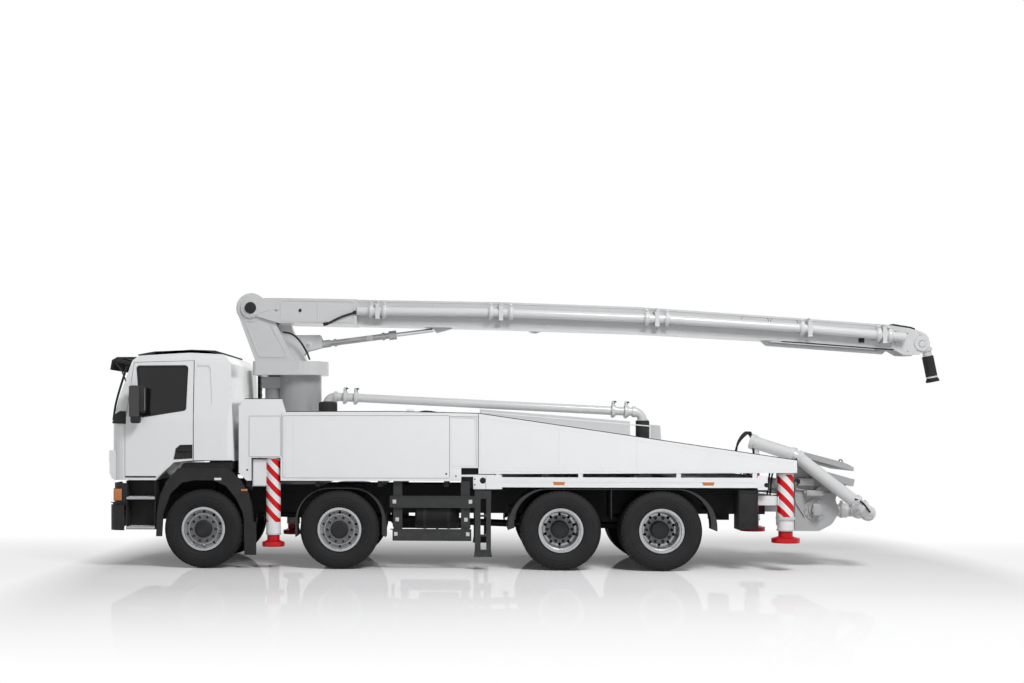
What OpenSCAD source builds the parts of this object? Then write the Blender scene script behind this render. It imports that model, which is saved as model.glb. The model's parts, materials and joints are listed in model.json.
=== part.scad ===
// Truck-mounted concrete pump on an 8x4 chassis: millimetres, front towards -X,
// the vehicle's left side towards -Y, wheels standing on z = 0.

/* [Overall] */
// Shift that puts the middle of the vehicle at x = 0
datum_x = -123; // [-160:1:-60]
// Width over the cab and the side panels
body_w = 2500; // [2440:10:2520]

/* [Wheels] */
// Diameter of every tyre
tyre_d = 1080; // [1050:2:1084]
// Width of a steered wheel's tyre
tyre_w = 315; // [295:5:320]
// Width of one tyre of a twin
twin_w = 285; // [270:5:295]
// Space between the two tyres of a twin
twin_gap = 45; // [35:5:60]
// Diameter over the rim flanges
rim_d = 598; // [580:2:604]
// Nuts round each hub
nut_count = 10; // [8:1:10]

/* [Axles] */
// First steered axle, from the datum
axle_1_x = -4420; // [-4440:5:-4400]
// From the first to the second steered axle
front_spread = 1870; // [1850:5:1890]
// From the second steered to the first driven axle
mid_spread = 2990; // [2970:5:3010]
// From the first to the second driven axle
rear_spread = 1340; // [1310:5:1370]
// Distance of a kingpin from the middle of the vehicle
kingpin_y = 1000; // [980:5:1010]

/* [Frame] */
// Width over the chassis rails
frame_w = 860; // [800:10:880]
// Height of a chassis rail
rail_h = 285; // [260:5:300]
// Top of the chassis rails
rail_top = 1010; // [990:5:1020]
// Thickness of a rail's steel
rail_t = 12; // [8:1:16]
// Bottom edge of the side panels
panel_z = 1203; // [1193:1:1210]

/* [Cab] */
// Thickness of the cab's walls and doors
cab_wall = 55; // [45:1:65]
// Underside of the cab
cab_floor_z = 1206; // [1200:1:1215]
// Highest line of the roof
cab_roof_z = 2961; // [2930:1:2990]
// Gap round a door
door_gap = 6; // [5:0.5:8]
// Thickness of the glass
glass_t = 6; // [5:0.5:8]

/* [Boom] */
// Slewing axis, from the datum
slew_x = -3223; // [-3240:1:-3200]
// Length of the first arm between its pins
arm_1_len = 9418; // [9380:1:9440]
// Half the width of the first arm's box
arm_half = 190; // [180:1:195]
// Length of the second and third arms between their pins
arm_2_len = 5320; // [5250:5:5380]
// Outer diameter of the delivery pipe
pipe_d = 125; // [118:1:130]
// Diameter of the lifting cylinder's barrel
barrel_d = 85; // [80:1:100]
// Diameter of its rod
rod_d = 60; // [50:1:64]
// Diameter of the end hose
hose_d = 160; // [140:2:170]

/* [Outriggers] */
// Diameter of a front leg's tube
front_leg_d = 200; // [190:2:206]
// Diameter of a rear leg's tube
rear_leg_d = 217; // [205:2:224]
// Height of the front feet above the ground
front_foot_z = 303; // [290:1:320]
// Height of the rear feet above the ground
rear_foot_z = 386; // [370:1:400]

/* [Hopper] */
// Width over the hopper's side plates
hopper_w = 1180; // [1120:10:1240]
// Thickness of the hopper's steel
hopper_t = 10; // [8:1:14]

/* [Hidden] */
$fn = 48;

half_w = body_w / 2;
axle_x = [
  axle_1_x,
  axle_1_x + front_spread,
  axle_1_x + front_spread + mid_spread,
  axle_1_x + front_spread + mid_spread + rear_spread];
axle_z = tyre_d / 2;
fit = 0.3;       // clearance of pieces that seat on each other
run = 5;         // clearance of pieces that pass each other
single_y = half_w - tyre_w / 2;
twin_outer_y = half_w - twin_w / 2;
twin_inner_y = twin_outer_y - twin_w - twin_gap;

// Everything is drawn from the datum and placed by its distance to the middle
module placed() translate([datum_x, 0, 0]) children();

// A box between two corners
module block(a, b) translate(a) cube(b - a);

// An outline in x and z, made solid from y0 to y1
module across(points, y0, y1)
  translate([0, y1, 0]) rotate([90, 0, 0]) linear_extrude(y1 - y0) polygon(points);

// A round bar along y at [x, z]
module bar_y(at, d, y0, y1)
  translate([at[0], y1, at[1]]) rotate([90, 0, 0]) cylinder(h = y1 - y0, d = d);

// A round bar between two points
module bar(a, b, d) {
  v = b - a;
  translate(a) rotate([0, acos(v[2] / norm(v)), atan2(v[1], v[0])])
    cylinder(h = norm(v), d = d);
}

module both_sides() {
  children();
  mirror([0, 1, 0]) children();
}
module on_side(side) mirror([0, side < 0 ? 1 : 0, 0]) children();

function unit(v) = v / norm(v);

// Points of one rounded corner p between its neighbours a and b
function corner(a, p, b, r, steps) =
  let (u = unit(a - p), v = unit(b - p),
       half = acos(max(-1, min(1, u * v))) / 2,
       c = p + unit(u + v) * r / sin(half),
       s = p + u * r / tan(half) - c,
       e = p + v * r / tan(half) - c,
       from = atan2(s[1], s[0]),
       turn = atan2(s[0] * e[1] - s[1] * e[0], s * e))
  [for (i = [0 : steps]) c + r * [cos(from + turn * i / steps), sin(from + turn * i / steps)]];

// An outline whose points are [x, y, corner radius]
function rounded(points, steps = 5) =
  let (n = len(points), xy = [for (p = points) [p[0], p[1]]])
  [for (i = [0 : n - 1])
    each points[i][2] == 0 ? [xy[i]]
      : corner(xy[(i + n - 1) % n], xy[i], xy[(i + 1) % n], points[i][2], steps)];

// A point at [x, z] of the side view, turned about a pin at [x, z]
function beside(pin, along, up, angle) =
  pin + along * [cos(angle), sin(angle)] + up * [-sin(angle), cos(angle)];

// How far a bend of radius r starts before the corner p
function bend_start(a, p, b, r) =
  let (u = unit(a - p), v = unit(b - p)) r / tan(acos(max(-1, min(1, u * v))) / 2);

// One bend of a pipe at the corner p
module bend(a, p, b, r, d) {
  u = unit(a - p);
  v = unit(b - p);
  angle = acos(max(-1, min(1, u * v)));
  c = p + unit(u + v) * r / sin(angle / 2);
  e1 = unit(p + u * bend_start(a, p, b, r) - c);
  e2 = -u;
  e3 = cross(e1, e2);
  multmatrix([
    [e1[0], e2[0], e3[0], c[0]],
    [e1[1], e2[1], e3[1], c[1]],
    [e1[2], e2[2], e3[2], c[2]],
    [0, 0, 0, 1]])
    rotate_extrude(angle = 180 - angle) translate([r, 0]) circle(d = d);
}

// A pipe through points, with bends of radius r and a coupling at each end of a bend
module pipe_run(points, d, r) {
  n = len(points);
  starts = [for (i = [0 : n - 1])
    i == 0 || i == n - 1 ? 0 : bend_start(points[i - 1], points[i], points[i + 1], r)];
  for (i = [0 : n - 2]) {
    way = unit(points[i + 1] - points[i]);
    a = points[i] + way * starts[i];
    b = points[i + 1] - way * starts[i + 1];
    bar(a + (i == 0 ? 0 : 8) * way, b - (i == n - 2 ? 0 : 8) * way, d);
    if (i > 0) bar(a - 26 * way, a + 26 * way, d + 34);
    if (i < n - 2) bar(b - 26 * way, b + 26 * way, d + 34);
  }
  for (i = [1 : 1 : n - 2]) bend(points[i - 1], points[i], points[i + 1], r, d);
}

// Wheels
bead_d = rim_d - 36;
groove_w = 12;
groove_depth = 15;

// One tyre about the y axis, its middle at y
module tyre_at(y, w) {
  side = w / 2;
  translate([0, y, 0]) rotate([90, 0, 0]) difference() {
    rotate_extrude($fn = 64) polygon([
      [bead_d / 2, -side * 0.74], [rim_d / 2 + 4, -side * 0.74],
      [rim_d / 2 + 14, -side * 0.86], [tyre_d * 0.37, -side], [tyre_d * 0.43, -side * 0.98],
          [tyre_d * 0.475, -side * 0.9], [tyre_d / 2, -side * 0.76],
      [tyre_d / 2, side * 0.76], [tyre_d * 0.475, side * 0.9], [tyre_d * 0.43, side * 0.98],
      [tyre_d * 0.37, side], [rim_d / 2 + 14, side * 0.86],
      [rim_d / 2 + 4, side * 0.74], [bead_d / 2, side * 0.74]]);
    for (k = [-1 : 1]) translate([0, 0, k * side * 0.42])
      rotate_extrude($fn = 64)
        translate([tyre_d / 2 - groove_depth, -groove_w / 2]) square([groove_depth + 5, groove_w]);
  }
}

module at_wheel(axle, side)
  placed() translate([axle_x[axle - 1], 0, axle_z]) on_side(side) children();

module tyre(axle, side) color("#2a2a2b") at_wheel(axle, side) {
  if (axle < 3) tyre_at(single_y, tyre_w);
  if (axle > 2) tyre_at(twin_outer_y, twin_w);
  if (axle > 2) tyre_at(twin_inner_y, twin_w);
}

stub_d = 90;
hub_bore = stub_d + 1;
axle_d = 146;
bolt_circle_d = 335;
hub_cap_d = 235;

// A rim's barrel about the y axis, as [radius, distance from its middle]
module rim_barrel(y, w) {
  seat = bead_d / 2 - fit;
  lip = w * 0.37;
  wall = 14;
  translate([0, y, 0]) rotate([-90, 0, 0]) rotate_extrude($fn = 64) polygon([
    [seat - wall, -lip - 14], [rim_d / 2, -lip - 14], [rim_d / 2, -lip - fit], [seat, -lip - fit],
    [seat, -lip + 34], [seat - 20, -lip + 52], [seat - 20, lip - 52], [seat, lip - 34],
    [seat, lip + fit], [rim_d / 2, lip + fit], [rim_d / 2, lip + 14], [seat - wall, lip + 14],
    [seat - wall, lip - 40], [seat - 34, lip - 56], [seat - 34, -lip + 56], [seat - wall, -lip + 40]]);
}

// Nuts on a ring, standing out of a disc's face at y
module nut_ring(y, out) for (i = [0 : nut_count - 1])
  rotate([0, 360 / nut_count * i, 0]) translate([bolt_circle_d / 2, y, 0])
    rotate([-90, 0, 0]) cylinder(h = out, d = 38, $fn = 6);

// The bulged disc of a steered wheel, with its hub and cap
module steered_rim() {
  seat = bead_d / 2 - fit;
  lip_y = single_y + tyre_w * 0.37;
  cap_r = hub_cap_d / 2;
  difference() {
    union() {
      rim_barrel(single_y, tyre_w);
      rotate([-90, 0, 0]) rotate_extrude($fn = 64) polygon([
        [hub_bore / 2, lip_y - 24], [198, lip_y - 24], [208, single_y + 66],
        [seat - 30, single_y + 20], [seat - 16, single_y + 20], [seat - 16, single_y + 44],
        [222, single_y + 84], [205, lip_y - 4], [hub_bore / 2, lip_y - 4]]);
    }
    for (i = [0 : nut_count - 1]) rotate([0, 360 / nut_count * (i + 0.5), 0])
      translate([232, single_y, 0]) rotate([-90, 0, 0]) cylinder(h = 150, d = 34);
  }
  nut_ring(lip_y - 5, 24);
  rotate([-90, 0, 0]) rotate_extrude($fn = 64) polygon([
    [hub_bore / 2, kingpin_y + 75], [95, kingpin_y + 75], [95, lip_y - 20],
        [hub_bore / 2, lip_y - 20]]);
  rotate([-90, 0, 0]) rotate_extrude($fn = 64) polygon([
    [0, lip_y - 5], [cap_r, lip_y - 5], [cap_r, lip_y + 12], [cap_r - 14, lip_y + 26],
        [0, lip_y + 26]]);
}

// The dished disc of a driven wheel between its two rims, with its hub and cap
twin_mid_y = (twin_outer_y + twin_inner_y) / 2;
module driven_rim() {
  seat = bead_d / 2 - fit;
  bore = axle_d / 2 + 0.5;
  dish_y = twin_mid_y + 14;
  cap_r = hub_cap_d / 2;
  difference() {
    union() {
      rim_barrel(twin_outer_y, twin_w);
      rim_barrel(twin_inner_y, twin_w);
      rotate([-90, 0, 0]) rotate_extrude($fn = 64) polygon([
        [bore, twin_mid_y - 14], [seat - 60, twin_mid_y - 14], [seat - 30, twin_inner_y + 20],
        [seat - 16, twin_inner_y + 20], [seat - 16, twin_outer_y - 20], [seat - 30, twin_outer_y - 20],
        [seat - 60, dish_y], [bore, dish_y]]);
    }
    for (i = [0 : nut_count - 1]) rotate([0, 360 / nut_count * (i + 0.5), 0])
      translate([202, twin_inner_y, 0]) rotate([-90, 0, 0]) cylinder(h = twin_w, d = 40);
  }
  nut_ring(dish_y - 1, 26);
  rotate([-90, 0, 0]) rotate_extrude($fn = 64) polygon([
    [bore, twin_mid_y - 60], [cap_r, twin_mid_y - 60], [cap_r, dish_y + 100],
    [cap_r - 20, dish_y + 118], [0, dish_y + 118], [0, dish_y + 60], [bore, dish_y + 60]]);
}
module rim(axle, side) color("#c6c8ca") at_wheel(axle, side) {
  if (axle < 3) steered_rim();
  if (axle > 2) driven_rim();
}

// Steering knuckle: kingpin with its two bosses, arm and stub axle for the hub
kingpin_d = 44;
module knuckle(axle, side) color("#2f2f31") at_wheel(axle, side) {
  translate([0, kingpin_y, -108]) cylinder(h = 216, d = kingpin_d);
  for (z = [-110, 60]) {
    translate([0, kingpin_y, z]) cylinder(h = 50, d = 90);
    block([-40, kingpin_y, z + 2], [40, kingpin_y + 60, z + 48]);
  }
  block([-45, kingpin_y + 50, -105], [45, kingpin_y + 66, 105]);
  translate([0, kingpin_y + 60, 0]) rotate([-90, 0, 0])
    cylinder(h = single_y + tyre_w * 0.37 - 20 - kingpin_y - 60, d = stub_d);
  block([0, kingpin_y - 20, -110], [180, kingpin_y + 20, -85]);
}

// Chassis
rail_bottom = rail_top - rail_h;
frame_front_x = -5560;
frame_rear_x = 3300;
cross_x = [-5300, -4980, -3500, -1500, -200, 1110, 2300, 3060];
cab_pivot = [-5625, 1090];
subframe_x = [-3800, -2850, -2000, -1100, -400, 700];
subframe_top = panel_z;
panel_t = 40;
arm_end_y = half_w - panel_t - 10;

module frame() placed() color("#3b3b3d") {
  both_sides() difference() {
    block([frame_front_x, frame_w / 2 - 80, rail_bottom], [frame_rear_x, frame_w / 2, rail_top]);
    block([frame_front_x - 1, frame_w / 2 - 81, rail_bottom + rail_t],
      [frame_rear_x + 1, frame_w / 2 - rail_t, rail_top - rail_t]);
  }
  for (x = cross_x) difference() {
    block([x - 60, -frame_w / 2 + rail_t, rail_bottom + 40],
        [x + 60, frame_w / 2 - rail_t, rail_top - 40]);
    block([x - 60 + rail_t, -frame_w / 2, rail_bottom + 40 + rail_t],
      [x + 61, frame_w / 2, rail_top - 40 - rail_t]);
  }
  // Subframe: two long members and the cross arms under the panels
  both_sides() block([-3860, frame_w / 2 - 110, rail_top], [3200, frame_w / 2 - 10, subframe_top - 80]);
  for (x = subframe_x)
    block([x - 30, -arm_end_y, subframe_top - 80], [x + 30, arm_end_y, subframe_top]);
  for (x = [2000, 3000]) both_sides()
    block([x - 30, frame_w / 2 - 100, subframe_top - 80], [x + 30, arm_end_y, subframe_top]);
  // Lugs that carry the tilting cab, and its rest behind
  both_sides() difference() {
    across([[-5520, 785], [-5520, 1120], [-5610, 1130], [-5645, 1118], [-5657, 1085], [-5560, 900],
        [-5560, 785]],
      frame_w / 2 - 60, frame_w / 2 - 30);
    bar_y(cab_pivot, 31, frame_w / 2 - 70, frame_w / 2);
  }
  both_sides() block([-4120, frame_w / 2 - 70, rail_top], [-4080, frame_w / 2, 1463]);
}

module engine() placed() color("#55585a") {
  block([-4880, -330, 640], [-3960, 330, 1180]);
  for (x = [-4750, -4150]) block([x, -frame_w / 2 + rail_t, 800], [x + 90, frame_w / 2 - rail_t, 870]);
}

leaf_t = 16;
spring_y = frame_w / 2 - 40;
beam_top = -35;

// Leaf packs: steered axles hang from the rails, the driven pair shares one pack a side
module axles() placed() color("#333335") {
  for (a = [0, 1]) translate([axle_x[a], 0, axle_z]) difference() {
    union() {
      block([-45, -kingpin_y + 130, beam_top - 90], [45, kingpin_y - 130, beam_top]);
      both_sides() block([-45, kingpin_y - 190, beam_top - 90], [45, kingpin_y - 90, 50]);
      both_sides() block([-40, kingpin_y - 91, -50], [40, kingpin_y, 50]);
      both_sides() translate([0, kingpin_y, -55]) cylinder(h = 110, d = 86);
      both_sides() for (k = [0 : 4]) block([-620 + k * 110, spring_y - 40, beam_top + leaf_t * (4 - k)],
        [620 - k * 110, spring_y + 40, beam_top + leaf_t * (5 - k)]);
      both_sides() for (s = [-1, 1]) block([s * 590 - 28, spring_y - 30, beam_top + leaf_t * 5],
        [s * 590 + 28, spring_y + 30, rail_bottom - axle_z]);
    }
    both_sides() translate([0, kingpin_y, -60]) cylinder(h = 120, d = kingpin_d + 1);
  }
  for (a = [2, 3]) translate([axle_x[a], 0, axle_z]) {
    rotate([90, 0, 0]) cylinder(h = 2 * (twin_mid_y + 70), d = axle_d, center = true);
    rotate([90, 0, 0]) translate([0, 0, -110]) cylinder(h = 220, d = 440);
    block([-280, -70, -70], [0, 70, 70]);
  }
  translate([(axle_x[2] + axle_x[3]) / 2, 0, axle_z]) {
    both_sides() for (k = [0 : 3]) block([-rear_spread / 2 - 60 + k * 120, spring_y - 40,
        70 + leaf_t * k],
      [rear_spread / 2 + 60 - k * 120, spring_y + 40, 70 + leaf_t * (k + 1)]);
    both_sides() block([-110, spring_y - 40, 70 + leaf_t * 4],
        [110, spring_y + 40, rail_bottom - axle_z]);
  }
  // Propeller shafts
  bar([-3956, 0, 700], [axle_x[2] - 279, 0, axle_z], 100);
  bar([axle_x[2], 0, axle_z], [axle_x[3] - 280, 0, axle_z], 100);
}

tank_d = 286;
module tanks() placed() color("#3a3a3c") both_sides() {
  translate([-1232, 800, 675]) rotate([0, 90, 0]) cylinder(h = 560, d = tank_d, center = true);
  for (x = [-1400, -1070])
    block([x - 20, frame_w / 2, 780], [x + 20, 780, 815]);
}

guard_t = 12;
// A wheel arch in the side view: flat top, round shoulders of radius r
module arch(x0, x1, z0, top, r, t) difference() {
  polygon(rounded([[x0, z0, 0], [x0, top, r], [x1, top, r], [x1, z0, 0]], 10));
  polygon(rounded([[x0 + t, z0 - 1, 0], [x0 + t, top - t, r - t], [x1 - t, top - t, r - t],
    [x1 - t, z0 - 1, 0]], 10));
}
module arch_across(x0, x1, z0, top, r, t, y0, y1)
  translate([0, y1, 0]) rotate([90, 0, 0]) linear_extrude(y1 - y0) arch(x0, x1, z0, top, r, t);

guard_y = half_w - 5;
module front_arches() placed() color("#3a3a38") both_sides() {
  // Lip of the first arch
  across([
    [-5071, 436], [-5060, 760], [-5015, 1000], [-4930, 1190], [-4765, 1372], [-4070, 1372],
    [-3895, 1200], [-3790, 1020], [-3750, 830], [-3738, 640], [-3693, 640], [-3693, 190],
    [-3851, 190], [-3853, 660], [-3878, 782], [-3964, 956], [-4103, 1130], [-4279, 1206],
    [-4540, 1206], [-4715, 1172], [-4873, 1022], [-4977, 742], [-4995, 436]], half_w - 62, guard_y);
  arch_across(-5075, -3770, 640, 1240, 430, guard_t, 900, half_w - 61);
  across([[-4790, 1300], [-4700, 1440], [-4020, 1455], [-4020, 1360], [-4070, 1300]],
      half_w - 320, half_w - 50);
  block([-4450, frame_w / 2, 1190], [-4390, 902, 1240]);
  block([-4450, frame_w / 2 - 50, rail_top], [-4390, frame_w / 2 + 1, 1240]);
  arch_across(axle_x[1] - 602, axle_x[1] + 631, 440, 1108, 470, guard_t, 880, guard_y);
  block([axle_x[1] - 30, frame_w / 2 - 10, 1096], [axle_x[1] + 30, 890, 1108]);
}

module mudguards() placed() color("#3a3a38") both_sides() {
  arch_across(axle_x[2] - 709, axle_x[3] + 732, 543, 1104, 520, guard_t, 640, half_w - 15);
  between = (axle_x[2] + axle_x[3] - guard_t) / 2;
  block([between, 640, 700], [between + guard_t, half_w - 15, 1095]);
  for (x = [axle_x[2] - 675, axle_x[3] + 658]) block([x, frame_w / 2, 800], [x + 40, 660, 830]);
  // Box behind the last wheel
  block([2794, 880, 560], [3050, half_w - 40, 1090]);
  block([2900, frame_w / 2, 900], [2940, 890, 940]);
  // Steps below the door
  for (z = [529, 935]) block([-5488, half_w - 250, z], [-5082, half_w - 10, z + 33]);
  for (x = [-5488, -5094]) block([x, half_w - 250, 529], [x + 12, half_w - 20, cab_floor_z - 8]);
  block([-5488, half_w - 262, 529], [-5082, half_w - 250, cab_floor_z - 8]);
  block([-5330, frame_w / 2, 860], [-5270, half_w - 262, 900]);
}

// The bumper's outline seen from above, its front face at x
module bumper_ring(x, back, y, t) difference() {
  polygon(rounded([[x, -y, 190], [back, -y, 0], [back, y, 0], [x, y, 190]], 8));
  polygon(rounded([[x + t, -y + t, 150], [back + 1, -y + t, 0], [back + 1, y - t, 0],
      [x + t, y - t, 150]], 8));
}
module bumper() placed() color("#3a3a38") {
  translate([0, 0, 515]) linear_extrude(346) bumper_ring(-5739, -5520, half_w - 15, 30);
  translate([0, 0, 861]) linear_extrude(35) bumper_ring(-5720, -5500, half_w - 30, 50);
  difference() {
    translate([0, 0, 896]) linear_extrude(269) bumper_ring(-5690, -5490, half_w - 20, 24);
    block([-5700, -700, 1010], [-5600, 700, 1200]);
  }
  both_sides() block([-5712, frame_w / 2 - 28, 750], [frame_front_x, frame_w / 2, 840]);
}

module guards() placed() color("#4a4a4c") both_sides() {
  for (z = [398, 845]) block([-1864 + (z == 398 ? 36 : 0), half_w - 60, z],
    [(z == 398 ? -761 : -713), half_w - 30, z + 151]);
  for (x = [-1817, -902]) block([x, half_w - 95, 420], [x + 120, half_w - 60, panel_z]);
  // Ladder with broad stiles, a head plate and a flared foot
  for (x = [[-715, -637], [-560, -497]]) block([x[0], half_w - 66, 190], [x[1], half_w - 24, 1071]);
  block([-717, half_w - 68, 965], [-494, half_w - 22, 1078]);
  across([[-728, 178], [-716, 275], [-496, 275], [-484, 178]], half_w - 68, half_w - 22);
  for (k = [1 : 3]) block([-640, half_w - 60, 190 + k * 265], [-557, half_w - 30, 215 + k * 265]);
}

// Outriggers
box_x = -3660;
box_w = 180;
box_z = subframe_top - 80;
box_h = 377;
box_t = 12;
front_leg = [-3463, half_w - 105];
rear_leg = [3432, half_w - 150];
leg_wall = 14;
front_leg_top = 1500;
front_tube_z = 463;
rear_tube_z = 546;
foot_d = 303;
rear_foot_d = 366;

module leg_tube(z0, z1, d) difference() {
  translate([0, 0, z0]) cylinder(h = z1 - z0, d = d);
  translate([0, 0, z0 - 1]) cylinder(h = z1 - z0 - leg_wall + 1, d = d - 2 * leg_wall);
}

module outrigger_box() placed() color("#d9d9d9") {
  difference() {
    block([box_x - box_w / 2, -half_w + 75, box_z], [box_x + box_w / 2, half_w - 75, box_z + box_h]);
    block([box_x - box_w / 2 + box_t, -half_w, box_z + box_t],
      [box_x + box_w / 2 - box_t, half_w, box_z + box_h - box_t]);
  }
  // Rear cross beam with its two fixed leg tubes
  both_sides() {
    block([3068, frame_w / 2 + fit, 885], [3321, rear_leg[1], 1009]);
    translate([rear_leg[0], rear_leg[1], 0]) leg_tube(rear_tube_z, 1300, rear_leg_d);
    block([3320, rear_leg[1] - 60, 885], [rear_leg[0] - rear_leg_d / 2 + 6, rear_leg[1] + 60, 1009]);
  }
}

// A beam with the leg tube on its end
module beam(side) placed() color("#e4e4e4") on_side(side) {
  gap = box_t + run;
  lift = box_t + 0.5;
  difference() {
    block([box_x - box_w / 2 + gap, 60, box_z + lift],
        [box_x + box_w / 2 - gap, half_w - 50, box_z + box_h - lift]);
    block([box_x - box_w / 2 + gap + box_t, 50, box_z + lift + box_t],
      [box_x + box_w / 2 - gap - box_t, half_w - 70, box_z + box_h - lift - box_t]);
  }
  translate([front_leg[0], front_leg[1], 0]) leg_tube(front_tube_z, front_leg_top, front_leg_d);
  // End plate that joins the beam to the leg round the end of the box
  difference() {
    block([box_x + box_w / 2 - gap - 1, half_w - 70, box_z + lift],
        [front_leg[0] - 60, half_w - 50, box_z + box_h - lift]);
    translate([front_leg[0], front_leg[1], 0]) cylinder(h = 3000, d = front_leg_d - 2);
  }
}

// A ram with its foot: ram inside the tube, neck and plate below
module foot(at, tube_z, tube_top, tube_d, z, d) translate([at[0], at[1], 0]) {
  ram_d = tube_d - 2 * leg_wall - 1;
  translate([0, 0, z]) cylinder(h = 62, d = d);
  translate([0, 0, z + 62]) cylinder(h = 25, d1 = d - 40, d2 = tube_d - 30);
  translate([0, 0, z + 80]) cylinder(h = tube_z - z, d = ram_d);
  translate([0, 0, tube_z]) cylinder(h = tube_top - tube_z - 60, d = ram_d);
}
module front_foot(side) placed() color("#b81418") on_side(side)
  foot(front_leg, front_tube_z, front_leg_top, front_leg_d, front_foot_z, foot_d);
module rear_foot(side) placed() color("#b81418") on_side(side)
  foot(rear_leg, rear_tube_z, 1300, rear_leg_d, rear_foot_z, rear_foot_d);

// Body panels
panel_front_x = -3926;
panel_rear_x = -1043;
joint_x = -665;
panel_top = [[-3926, 2220], [-3843, 2316], [-3335, 2316], [-3280, 2140], [-1814, 2142],
    [joint_x, 2115]];
deck_z = 2100;
column_d = 612;
column_hole = column_d + 20;
seam = 5;

module seam_frame(x0, x1, z0, z1) difference() {
  block([x0, half_w - 4, z0], [x1, half_w + 1, z1]);
  block([x0 + seam, half_w - 9, z0 + seam], [x1 - seam, half_w + 2, z1 - seam]);
}

module side_panels() placed() color("#eeeeee") {
  both_sides() difference() {
    across(concat([[panel_front_x + 111, panel_z], [panel_front_x, panel_z + 107]], panel_top,
      [[joint_x, 1381], [panel_rear_x, 1381], [panel_rear_x, panel_z]]), half_w - panel_t, half_w);
    // Hole for the front leg and its beam
    block([-3754, half_w - panel_t - 1, panel_z - 1], [-3352, half_w + 1, 1516]);
    // Recessed rear field and the seams of the lockers
    block([panel_rear_x, half_w - 15, 1400], [joint_x - 20, half_w + 1, 2080]);
    seam_frame(-3787, -3280, 1260, 2085);
    seam_frame(-3180, panel_rear_x - 10, 1240, 2090);
  }
  both_sides() for (x = [[panel_front_x + 116, -3760], [-3346, panel_rear_x]])
    block([x[0], arm_end_y - 80, panel_z], [x[1], half_w - panel_t, panel_z + 12]);
  difference() {
    union() {
      block([panel_front_x, -half_w + panel_t, deck_z - 20], [joint_x, half_w - panel_t, deck_z]);
      block([panel_front_x, -half_w + panel_t, panel_z + 107],
          [panel_front_x + 30, half_w - panel_t, deck_z - 20]);
    }
    translate([slew_x, 0, deck_z - 30]) cylinder(h = 60, d = column_hole);
  }
}

wedge_end_x = 3550;
wedge_slope = (1489 - 2115) / (wedge_end_x - joint_x);
function wedge_top(x) = 2115 + wedge_slope * (x - joint_x);
deck_drop = 60;
function deck_at(x) = wedge_top(x) - deck_drop;
pipe_y = 200;
riser_x = 1700;
deck_pipe = [[-2862, 2384], [riser_x, 2148]];
pipe_tail = [3092, -520, 1740];

module wedge_panels() placed() color("#eeeeee") {
  difference() {
    union() {
      both_sides() across([[joint_x, 1300], [joint_x, 2115], [wedge_end_x, 1489], [wedge_end_x, 1323]],
        half_w - panel_t, half_w);
      across([[joint_x, deck_at(joint_x)], [wedge_end_x, deck_at(wedge_end_x)],
        [wedge_end_x, deck_at(wedge_end_x) - 20], [joint_x, deck_at(joint_x) - 20]],
        -half_w + panel_t, half_w - panel_t);
    }
    translate([riser_x, pipe_y, 1500]) cylinder(h = 400, d = pipe_d + 30);
  }
  // White side rail on its brackets
  both_sides() {
    difference() {
      block([-511, half_w - 50, 1122], [3038, half_w - 4, 1257]);
      block([-480, half_w - 10, 1180], [3000, half_w, 1196]);
    }
    for (x = [-457, 3103]) block([x - (x < 0 ? 108 : 65), half_w - 50, 1096],
        [x + (x < 0 ? 108 : 65), half_w - 2, 1285]);
    for (x = [-400, 700, 2000, 3000]) block([x - 30, half_w - 36, 1250], [x + 30, half_w - 6, 1330]);
  }
}

module housing() placed() color("#e6e6e6") {
  across([[-629, deck_at(-629) + fit], [-629, 2190], [1500, 2016], [1500, deck_at(1500) + fit]],
      0, 560);
  across([[1740, deck_at(1740) + fit], [1754, 1973], [1965, 1956], [1990, deck_at(1990) + fit]],
      300, 520);
}

// Pump below the deck: drive cylinders, water box and material cylinders
pump_line = [[300, 1450], [1600, 1310], [1760, 1295], [3652, 1091]];
function pump_at(k, y) = [pump_line[k][0], y, pump_line[k][1]];
module pump() placed() color("#8b8f92") {
  for (y = [-150, 150]) {
    bar(pump_at(0, y), pump_at(1, y), 120);
    bar(pump_at(2, y), pump_at(3, y), 220);
    bar(pump_at(2, y), pump_at(2, y) + [30, 0, -3], 270);
    bar(pump_at(3, y) - [30, 0, -3], pump_at(3, y), 270);
  }
  block([1590, -280, 1180], [1765, 280, 1430]);
  both_sides() block([1620, 270, box_z], [1730, 400, 1200]);
  block([hopper_x - 20, -300, 950], [hopper_x - fit, 300, 1235]);
  block([280, -230, 1380], [330, 230, 1520]);
  both_sides() block([285, 225, box_z], [325, 400, 1400]);
}

hopper_x = 3672;
lid_hinge = [3735, 1549];
hopper_y = hopper_w / 2;
rim_a = [3672, 1440];
rim_b = [4430, 1225];
agitator_at = [3945, 800];
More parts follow.
